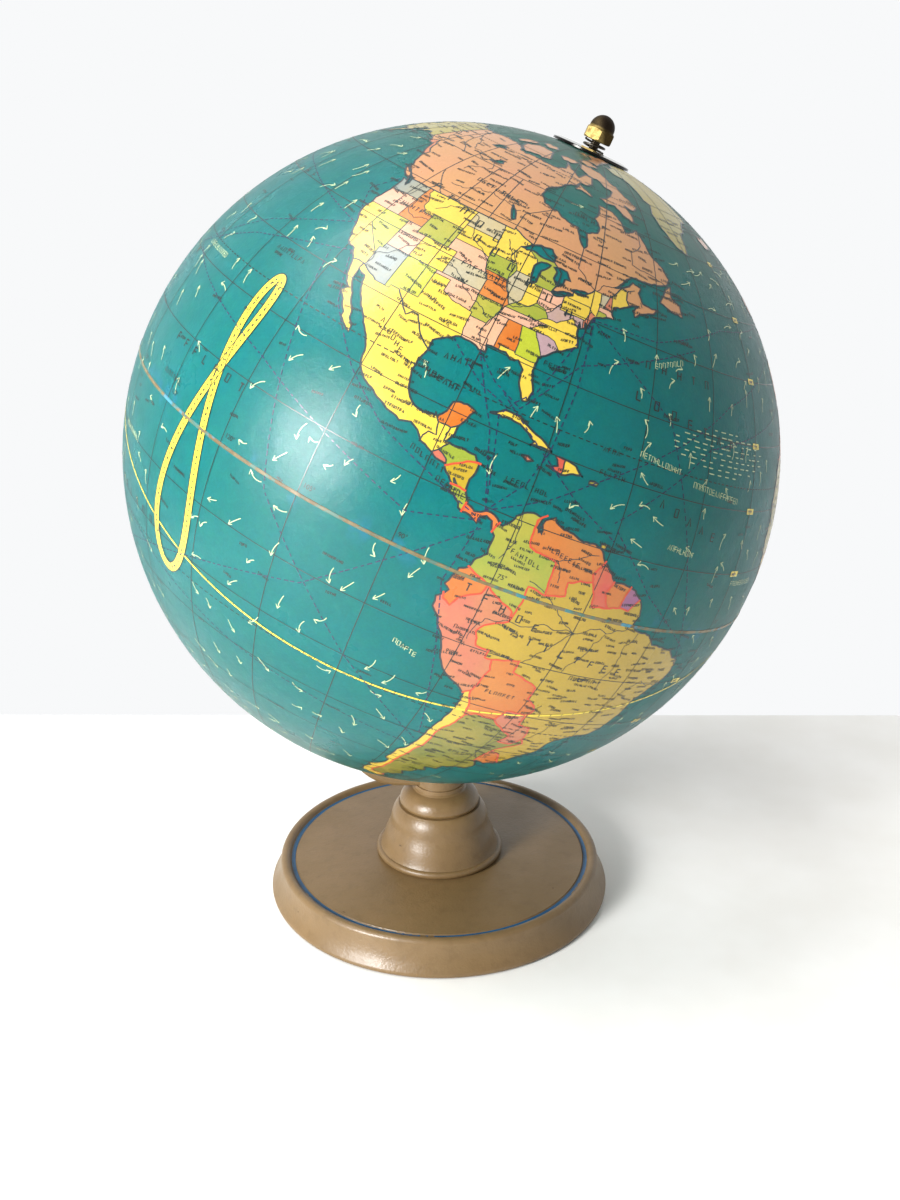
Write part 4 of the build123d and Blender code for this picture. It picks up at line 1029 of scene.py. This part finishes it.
print_ink = bmesh.new()
big_names = """
    -62 36.5 5 3 0.02, -63 31.5 8 3.4 -0.15, -54 18 5 3.2 -0.25, -117 49.5 6 3.2 -0.32, -101 44 7 3.2 -0.32,
    -78 -2 5 3 -0.22, -66 -7 7 3 -0.1, -140 8 7 3.2 0, -150 -20 7 3.2 0, -30 -20 6 3.2 0, -30 -26 8 3.2 0,
    70 -12 6 3.2 0, 68 -18 5 3.2 0, 15 5 6 3.2 0, 80 45 4 3.2 0, -170 40 7 3.2 0, 165 10 7 3.2 0,
    128 -26 9 3 0
"""
print_names(print_ink, big_names, 2.6, 0.17)
middle_names = """
    -94.5 26 5 2.2 0.1, -96 23 6 2.2 -0.1, -79 14.3 9 1.7 0, -93 13 7 1.9 -0.25, -88 10.5 7 1.9 -0.2,
    -111 55 9 2 -0.1, -84 57.5 6 2 -0.1, -75 5.5 8 1.7 -0.2, -69.5 7.5 8 1.7 -0.2, -67.5 -17 7 1.7 0,
    -56 -11 6 2 0, -77 -8 4 1.7 -1, -106 26.5 6 2 -0.6, -66.5 23 4 1.7 0, -66 19.8 6 1.7 0,
    -100 39.5 8 2 0, -120 44 6 2 0, -65 -33 9 1.8 0, -139 3 8 1.8 0, -132 28 9 1.8 0, -80 31 5 1.7 0
"""
print_names(print_ink, middle_names, 1.15, 0.17)
# Rows of tiny names: close on land, fewer off its shores, rare in the open sea.
row_gap, word_gap, print_south, print_band = 1.15, 3.9, -54, 124
for row in range(int(print_band / row_gap)):
    latitude = print_south + row * row_gap
    for word in range(int(360 * cos(radians(latitude)) / word_gap)):
        x = -179 + word * word_gap / cos(radians(latitude)) + chance.uniform(-1.5, 1.5)
        y = latitude + chance.uniform(-0.8, 0.8)
        share = 0.85 if on_land(x, y) else 0.5 if not is_sea(x, y, 3.5) else 0.045
        if chance.random() < share:
            letters, height = chance.randint(4, 9), chance.uniform(0.75, 1.05)
            small_print(print_ink, x, y, letters, height, chance.choice((0, 0, 0.15, -0.2)))
make_piece("small_print", print_ink, black_ink, "globe")


# --- Sun's year and the equator -------------------------------------------------------
# The yellow figure of eight gives the sun's height and clock error through the year; the
# yellow line is the ecliptic, ticked in black; the equator carries degree numerals at each meridian.
def clock_error(day):
    """Degrees by which the sun runs ahead of the clock: the usual minutes, four to a degree."""
    turn = radians((day - 81) * 360 / 364)
    return (9.87 * sin(2 * turn) - 7.53 * cos(turn) - 1.5 * sin(turn)) / 4


year_days, figure_longitude, figure_width, sun_reach = 365, -126.4, 1.12, 24.6
band_width, outline, band_radius, outline_radius = 3.6, 0.45, 152.35, 152.375
figure = []
for day in range(0, year_days + 1, 3):
    latitude = sun_reach * sin(radians((day - 81) * 360 / year_days))
    figure.append(Vector((figure_longitude - clock_error(day) * figure_width, latitude)))
figure.append(figure[0])
yellow_ink, tick_ink = bmesh.new(), bmesh.new()
ribbon(yellow_ink, figure, band_width, band_radius)
for side in (-1, 1):
    ribbon(tick_ink, figure, outline, outline_radius, side * (band_width + outline) / 2)
dashes(tick_ink, figure, 0.85, 0.32, 0.6, outline_radius)
ecliptic_tilt, ecliptic_start, ecliptic_radius, ecliptic_tick_radius = 23.44, 91, 152.37, 152.39
ecliptic = [
    Vector((x, -ecliptic_tilt * cos(radians(x + ecliptic_start)))) for x in range(-180, 181, 2)
]
ribbon(yellow_ink, ecliptic, 0.8, ecliptic_radius)
half_tick = Vector((0, 0.25))
for spot in ecliptic[:-1]:
    ribbon(tick_ink, [spot - half_tick, spot + half_tick], 0.3, ecliptic_tick_radius)
# Small yellow boxes for the latitudes, down the meridian thirty degrees west.
box_west, box_east = -31.2, -28.6
for latitude in range(-60, 61, 10):
    if latitude:
        box = [Vector((box_west, latitude)), Vector((box_east, latitude))]
        ribbon(yellow_ink, box, 2.4, ecliptic_radius)
        small_print(tick_ink, -31, latitude - 0.35, 4, 1.4, 0, 0.8, 0.16)
yellow = printed_ink("yellow_band_ink", "#f2dc3c", "#cfae34")
make_piece("sun_figure", yellow_ink, yellow, "globe")
make_piece("sun_ticks", tick_ink, black_ink, "globe")


# A capital stands this share of the font's size.
capital_share = 0.7


def numeral(mesh, words, size, place, centred=False):
    """Flat upright numerals; place gives the spot of each point of their outline."""
    curve = bpy.data.curves.new("numeral", "FONT")
    curve.body = words
    curve.size = size
    if centred:
        curve.align_x, curve.align_y = "CENTER", "CENTER"
    holder = bpy.data.objects.new("numeral", curve)
    shape = holder.to_mesh()
    new = [mesh.verts.new(place(vertex.co)) for vertex in shape.vertices]
    for polygon in shape.polygons:
        mesh.faces.new([new[corner] for corner in polygon.vertices])
    holder.to_mesh_clear()
    bpy.data.objects.remove(holder)
    bpy.data.curves.remove(curve)


numeral_ink = bmesh.new()
equator_figure, figure_right, figure_up = 1.9, 0.4, 1.3
figure_size = degrees(equator_figure / ball_radius) / capital_share
for longitude in range(-165, 181, 15):

    def beside_meridian(spot):
        """A point of the outline, laid on the ball just right of the meridian."""
        return on_ball(longitude + figure_right + spot.x, figure_up + spot.y, letter_radius)

    numeral(numeral_ink, str(abs(longitude)) + "°", figure_size, beside_meridian)
make_piece("equator_numerals", numeral_ink, black_ink, "globe")



def full_turn(mesh, spots, centre, axis, steps, closed=False):
    """The profile through spots, spun once round the axis into a ring."""
    points = [mesh.verts.new(spot) for spot in spots]
    ends = points[1:] + points[:1] if closed else points[1:]
    edges = [mesh.edges.new(pair) for pair in zip(points, ends)]
    bmesh.ops.spin(
        mesh,
        geom=points + edges,
        cent=centre,
        axis=axis,
        angle=2 * pi,
        steps=steps,
        use_merge=True,
    )


def face_along(mesh, way):
    """Turns every face of a flat print so that it looks along this direction."""
    mesh.normal_update()
    backward = [face for face in mesh.faces if face.normal.dot(way) < 0]
    bmesh.ops.reverse_faces(mesh, faces=backward)


# Brownish tape worn through to blue and green print in patches.
belt, belt_shader = new_material("worn_tape", roughness=0.5, coat_weight=0.3, coat_roughness=0.35)
belt_wear = vein(belt, 7.0, 4.0, 0.6, 0.42, 0.58)
patches = [
    ("#5d4a2a", 0.8, belt_wear),
    ("#2f8fb0", 0.85, vein(belt, 16.0, 3.0, 0.6, 0.55, 0.6)),
    ("#2b6f68", 0.7, vein(belt, 4.0, 3.0, 0.6, 0.5, 0.6)),
]
tint(belt, belt_shader, "#756743", patches)
vary(belt, belt_shader, "Roughness", 0.38, 0.6, belt_wear)
tape_bottom, tape_top, tape_inner, tape_outer = 0.28, 0.224, 152.26, 152.42
profile = [(-tape_bottom, tape_inner), (tape_bottom, tape_inner)]
profile += [(tape_top, tape_outer), (-tape_top, tape_outer)]
tape = bmesh.new()
section = [on_ball(-180, latitude, radius) for latitude, radius in profile]
full_turn(tape, section, ball_centre, polar, 180, closed=True)
bmesh.ops.recalc_face_normals(tape, faces=tape.faces)
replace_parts(make_piece("equator_strip", tape, belt, "globe", smooth=False), "equator_tape")


# --- Stand ----------------------------------------------------------------------------
# Arm, collar, bell, ring and dish are sprayed one warm tan; the dish has a thin blue line
# painted in its groove. The paint is satin, dusty in small spots, chipped at the edges.
def give(material, *nodes):
    """Puts this material on the CAD pieces named."""
    for node in nodes:
        data = bpy.data.objects[node].data
        data.materials.clear()
        data.materials.append(material)


# Satin tan enamel: soft brown clouds, dust in small spots, a few specks of bare metal.
tan, tan_shader = new_material("satin_tan_paint", roughness=0.42, coat_weight=0.15, coat_roughness=0.3)
tan_cloud = vein(tan, 40.0, 4.0)
tan_spots = vein(tan, 2.2, 4.0, 0.7, 0.68, 0.72)
tan_chips = vein(tan, 9.0, 5.0, 0.75, 0.735, 0.745)
patches = [
    ("#66502e", 0.5, tan_cloud),
    ("#5a4426", 0.35, vein(tan, 6.0, 5.0, 0.6, 0.5, 0.75)),
    ("#5c4630", 0.6, tan_spots),
    ("#3b2f25", 0.9, tan_chips),
]
tint(tan, tan_shader, "#7b6240", patches)
vary(tan, tan_shader, "Roughness", 0.33, 0.5, tan_cloud)
relief(tan, tan_shader, [(0.04, vein(tan, 1.4)), (0.1, vein(tan, 18.0))])
give(tan, "base_pan", "bell_post", "bell_foot_ring", "neck_collar", "arm")

# Hand-lined blue paint, thin and greyed where it has been rubbed.
blue, blue_shader = new_material("blue_line_paint", roughness=0.4)
blue_wear = vein(blue, 5.0, 4.0, 0.6, 0.5, 0.7)
tint(blue, blue_shader, "#10527c", [("#2f5f74", 0.4, blue_wear), ("#0d3c5e", 0.5, vein(blue, 12.0))])
vary(blue, blue_shader, "Roughness", 0.34, 0.55, blue_wear)
groove_radius, groove_floor, groove_rise, line_width, line_lift = 77.8, 15.6, 0.42, 2.0, 0.06
pinstripe = bmesh.new()
profile = []
for share in (-0.5, -0.25, 0, 0.25, 0.5):
    out = line_width * share
    height = groove_floor + line_lift + out * out * groove_rise
    profile.append(Vector((groove_radius + out, 0, height)) / 1000)
full_turn(pinstripe, profile, (0, 0, 0), (0, 0, 1), 192)
face_along(pinstripe, Vector((0, 0, 1)))
make_piece("blue_pinstripe", pinstripe, blue, "stand")

# Small chips down to the dark primer: two on the dish, one on the bell and one on the skirt.
# The primer is dull brown, mottled with rust.
primer, primer_shader = new_material("bare_primer", roughness=0.6)
tint(primer, primer_shader, "#3a2a1c", [("#5e452c", 0.6, vein(primer, 0.8))])
# Radius, height, angle round the post, lean of the surface from level, length and width.
chips = [
    (69.1, 17.16, -31.1, 4, 0.9, 0.7),
    (74.7, 16.77, -127.1, 5, 1.8, 0.5),
    (28.15, 31.0, -134.0, 71, 1.6, 0.5),
    (85.7, 10.05, -144.0, 76, 0.8, 0.6),
]
ragged = 0.00008
chip_layer = bmesh.new()
for radius, height, angle, lean, length, width in chips:
    spot = Matrix.Rotation(radians(angle), 4, "Z")
    spot = spot @ Matrix.Translation((radius / 1000, 0, height / 1000))
    spot = spot @ Matrix.Rotation(radians(lean), 4, "Y") @ Matrix.Diagonal((width, length, 1, 1))
    bmesh.ops.create_circle(chip_layer, cap_ends=True, segments=9, radius=0.0005, matrix=spot)
for vertex in chip_layer.verts:
    vertex.co += Vector((chance.uniform(-1, 1), chance.uniform(-1, 1), 0)) * ragged
make_piece("paint_chips", chip_layer, primer, "stand", smooth=False)


# --- Finial ---------------------------------------------------------------------------
# A bright nickelled hour dial with a dark rim and ticked hours, a dull steel rod and
# spring, and an acorn nut whose hexagon is dull gold while its dome has browned.
axis_turn = Vector((0, 0, 1)).rotation_difference(polar).to_matrix().to_4x4()
dial_frame = Matrix.Translation(ball_centre) @ axis_turn
dial_top, dial_gap = 153.32, 0.03
rim_start, rim_full = 17.7, 17.8
# Bright nickel gone cloudy, with a near-black band painted where the edge turns down.
nickel, nickel_shader = new_material("nickelled_dial", metallic=1.0, roughness=0.22)
nickel_wear = vein(nickel, 3.5, 4.0, 0.65, 0.55, 0.75)
across = add_node(
    nickel,
    "ShaderNodeVectorMath",
    {"operation": "CROSS_PRODUCT", 1: polar * 1000},
    {0: from_ball_centre(nickel)},
)
reach = add_node(nickel, "ShaderNodeVectorMath", {"operation": "LENGTH"}, {0: across.outputs["Vector"]})
# A near-black band is painted on the dial's rim, past 17.7 mm from the axis.
dark_rim = add_node(
    nickel,
    "ShaderNodeMapRange",
    {"From Min": rim_start, "From Max": rim_full},
    {"Value": reach.outputs["Value"]},
).outputs["Result"]
patches = [
    ("#a89c86", 0.5, nickel_wear),
    ("#e8e8e6", 0.4, vein(nickel, 14.0)),
    ("#141312", 0.96, dark_rim),
]
tint(nickel, nickel_shader, "#d6d6d2", patches)
vary(nickel, nickel_shader, "Roughness", 0.16, 0.38, nickel_wear)
relief(nickel, nickel_shader, [(0.006, vein(nickel, 0.7))])
give(nickel, "hour_dial")

# Black enamel filled into the dial's marks, rubbed thin in spots.
enamel, enamel_shader = new_material("black_dial_enamel", roughness=0.3)
enamel_wear = vein(enamel, 1.2, 4.0, 0.6, 0.6, 0.8)
tint(enamel, enamel_shader, "#1b1c1c", [("#6f6b60", 0.6, enamel_wear)])
vary(enamel, enamel_shader, "Roughness", 0.24, 0.5, enamel_wear)
marks = bmesh.new()
hours, ticks_per_hour, ticks_end, hour_tick, quarter_tick = 24, 4, 14.8, 2.2, 1.1
numeral_height, numeral_radius = 1.7, 10.2


def dial_spot(radius_mm, angle):
    """A place on the dial's face."""
    flat = Vector((radius_mm * cos(angle), radius_mm * sin(angle), dial_top + dial_gap))
    return dial_frame @ (flat / 1000)


def dial_mark(inner_radius, outer_radius, middle, half_width):
    """A radial bar on the dial between two radii, half_width in mm at its outer end."""
    share = half_width / outer_radius
    corners = [(inner_radius, -share), (outer_radius, -share), (outer_radius, share), (inner_radius, share)]
    marks.faces.new([marks.verts.new(dial_spot(radius, middle + angle)) for radius, angle in corners])


for step in range(hours * ticks_per_hour):
    angle = step * 2 * pi / (hours * ticks_per_hour)
    whole = step % ticks_per_hour == 0
    length = hour_tick if whole else quarter_tick
    dial_mark(ticks_end - length, ticks_end, angle, 0.16 if whole else 0.08)
full_turn(marks, [dial_spot(11.9, 0), dial_spot(12.05, 0)], ball_centre, polar, 96)
for hour in range(hours):
    stand_up = Matrix.Rotation(-hour * 2 * pi / hours, 4, "Z")
    stand_up = stand_up @ Matrix.Translation((0, numeral_radius, dial_top + dial_gap))

    def round_the_dial(spot):
        """A point of the outline, laid on the dial with its foot towards the rod."""
        return dial_frame @ ((stand_up @ spot) / 1000)

    numeral(marks, str(hour % 12 or 12), numeral_height / capital_share, round_the_dial, centred=True)
face_along(marks, polar)
make_piece("dial_marks", marks, enamel, "dial", smooth=False)

# Worn brass: dull gold flats, the right-hand side painted dark brown as painted shade for its dark
# reflection, a nearly black dome.
brass, brass_shader = new_material("aged_brass_nut", metallic=1.0, roughness=0.65)
place = add_node(brass, "ShaderNodeTexCoord")
height_on_axis = add_node(
    brass,
    "ShaderNodeVectorMath",
    {"operation": "DOT_PRODUCT", 1: polar * 1000},
    {0: from_ball_centre(brass)},
)
dome_start, dome_full = 162.3, 163.6
shade_side_from, shade_side_full = 0.0695, 0.0715
dome = add_node(
    brass,
    "ShaderNodeMapRange",
    {"From Min": dome_start, "From Max": dome_full},
    {"Value": height_on_axis.outputs["Value"]},
).outputs["Result"]
sides = add_node(brass, "ShaderNodeSeparateXYZ", {}, {"Vector": place.outputs["Object"]})
# Painted shade: the right-hand side of the nut, past x = 69.5 mm, is painted dark brown for the dark
# reflection on its flats.
painted_shade_side = add_node(
    brass,
    "ShaderNodeMapRange",
    {"From Min": shade_side_from, "From Max": shade_side_full},
    {"Value": sides.outputs["X"]},
).outputs["Result"]
brass_wear = vein(brass, 2.0, 4.0, 0.65, 0.45, 0.7)
# The second patch is the painted shade on the right-hand side; the others are wear and the dome.
patches = [("#6a5428", 0.55, brass_wear), ("#2a1c10", 0.85, painted_shade_side), ("#2c241e", 0.93, dome)]
tint(brass, brass_shader, "#a8925a", patches)
vary(brass, brass_shader, "Roughness", 0.58, 0.72, brass_wear)
relief(brass, brass_shader, [(0.02, vein(brass, 0.9))])
give(brass, "acorn_nut")


# --- Other materials ------------------------------------------------------------------
# Finishes of the pieces that show only from below, behind or inside.
def plain(name, shade, patches, roughness, bumps, metallic=0.0):
    """A worn material: patches as (hex, amount, size in mm), bumps as (height, size) in mm."""
    low, high = roughness
    material, shader = new_material(name, metallic=metallic, roughness=low)
    tint(material, shader, shade, [(tone, amount, vein(material, size)) for tone, amount, size in patches])
    vary(material, shader, "Roughness", low, high, vein(material, patches[0][2] * 0.7, 4.0))
    relief(material, shader, [(height, vein(material, size)) for height, size in bumps])
    return material


# Grey steel, tarnished brown in blotches with brighter rubbed specks.
steel_wear = [("#5c5348", 0.6, 4.0), ("#a9a8a4", 0.4, 1.0)]
steel = plain("dull_steel", "#8d8c88", steel_wear, (0.3, 0.55), [(0.02, 0.8)], 1.0)
# Darker, oily steel with brown stains.
dark_steel = plain("oiled_rod_steel", "#5f5a52", [("#33281c", 0.7, 3.0)], (0.25, 0.5), [(0.015, 0.8)], 1.0)
# Rough sand-cast iron, rusting in patches.
iron = plain("cast_weight_iron", "#3c3b3a", [("#5a3d2a", 0.6, 8.0)], (0.6, 0.85), [(0.3, 2.0)], 0.6)
# Dark pressed board with a faint grain.
hardboard = plain("hardboard", "#6b4a30", [("#4f3523", 0.6, 5.0)], (0.6, 0.8), [(0.08, 0.8)])
# Matt green felt, fuzzy and unevenly faded.
felt_wear = [("#42604a", 0.6, 1.2), ("#26382b", 0.5, 14.0)]
felt = plain("green_felt", "#2f4a36", felt_wear, (0.9, 1.0), [(0.3, 0.5)])
# Vulcanised fibre, dark red with oil stains.
fibre = plain("red_fibre", "#6f2f22", [("#4d2018", 0.6, 3.0)], (0.5, 0.7), [(0.03, 0.6)])
# Pale turned wood with darker patches.
wood = plain("turned_wood", "#b08a5a", [("#8a6238", 0.6, 4.0)], (0.5, 0.7), [(0.06, 1.0)])
# Grey-brown moulded paper pulp, coarse and dry.
board_wear = [("#7d705a", 0.6, 6.0), ("#b3a88e", 0.5, 1.5)]
board = plain("pulpboard", "#9c9078", board_wear, (0.8, 0.95), [(0.15, 1.0)])
give(steel, "spacer_tube", "tie_bolt", "tie_bolt_washer", "rod_jam_nut")
give(dark_steel, "axis_rod", "dial_spring", "north_bush", "south_bush")
give(iron, "base_weight")
give(hardboard, "bottom_cover")
give(felt, "felt_pad")
give(fibre, "thrust_washer")
give(wood, "north_pole_block", "south_pole_block")
give(board, "north_shell", "south_shell", "equator_hoop")
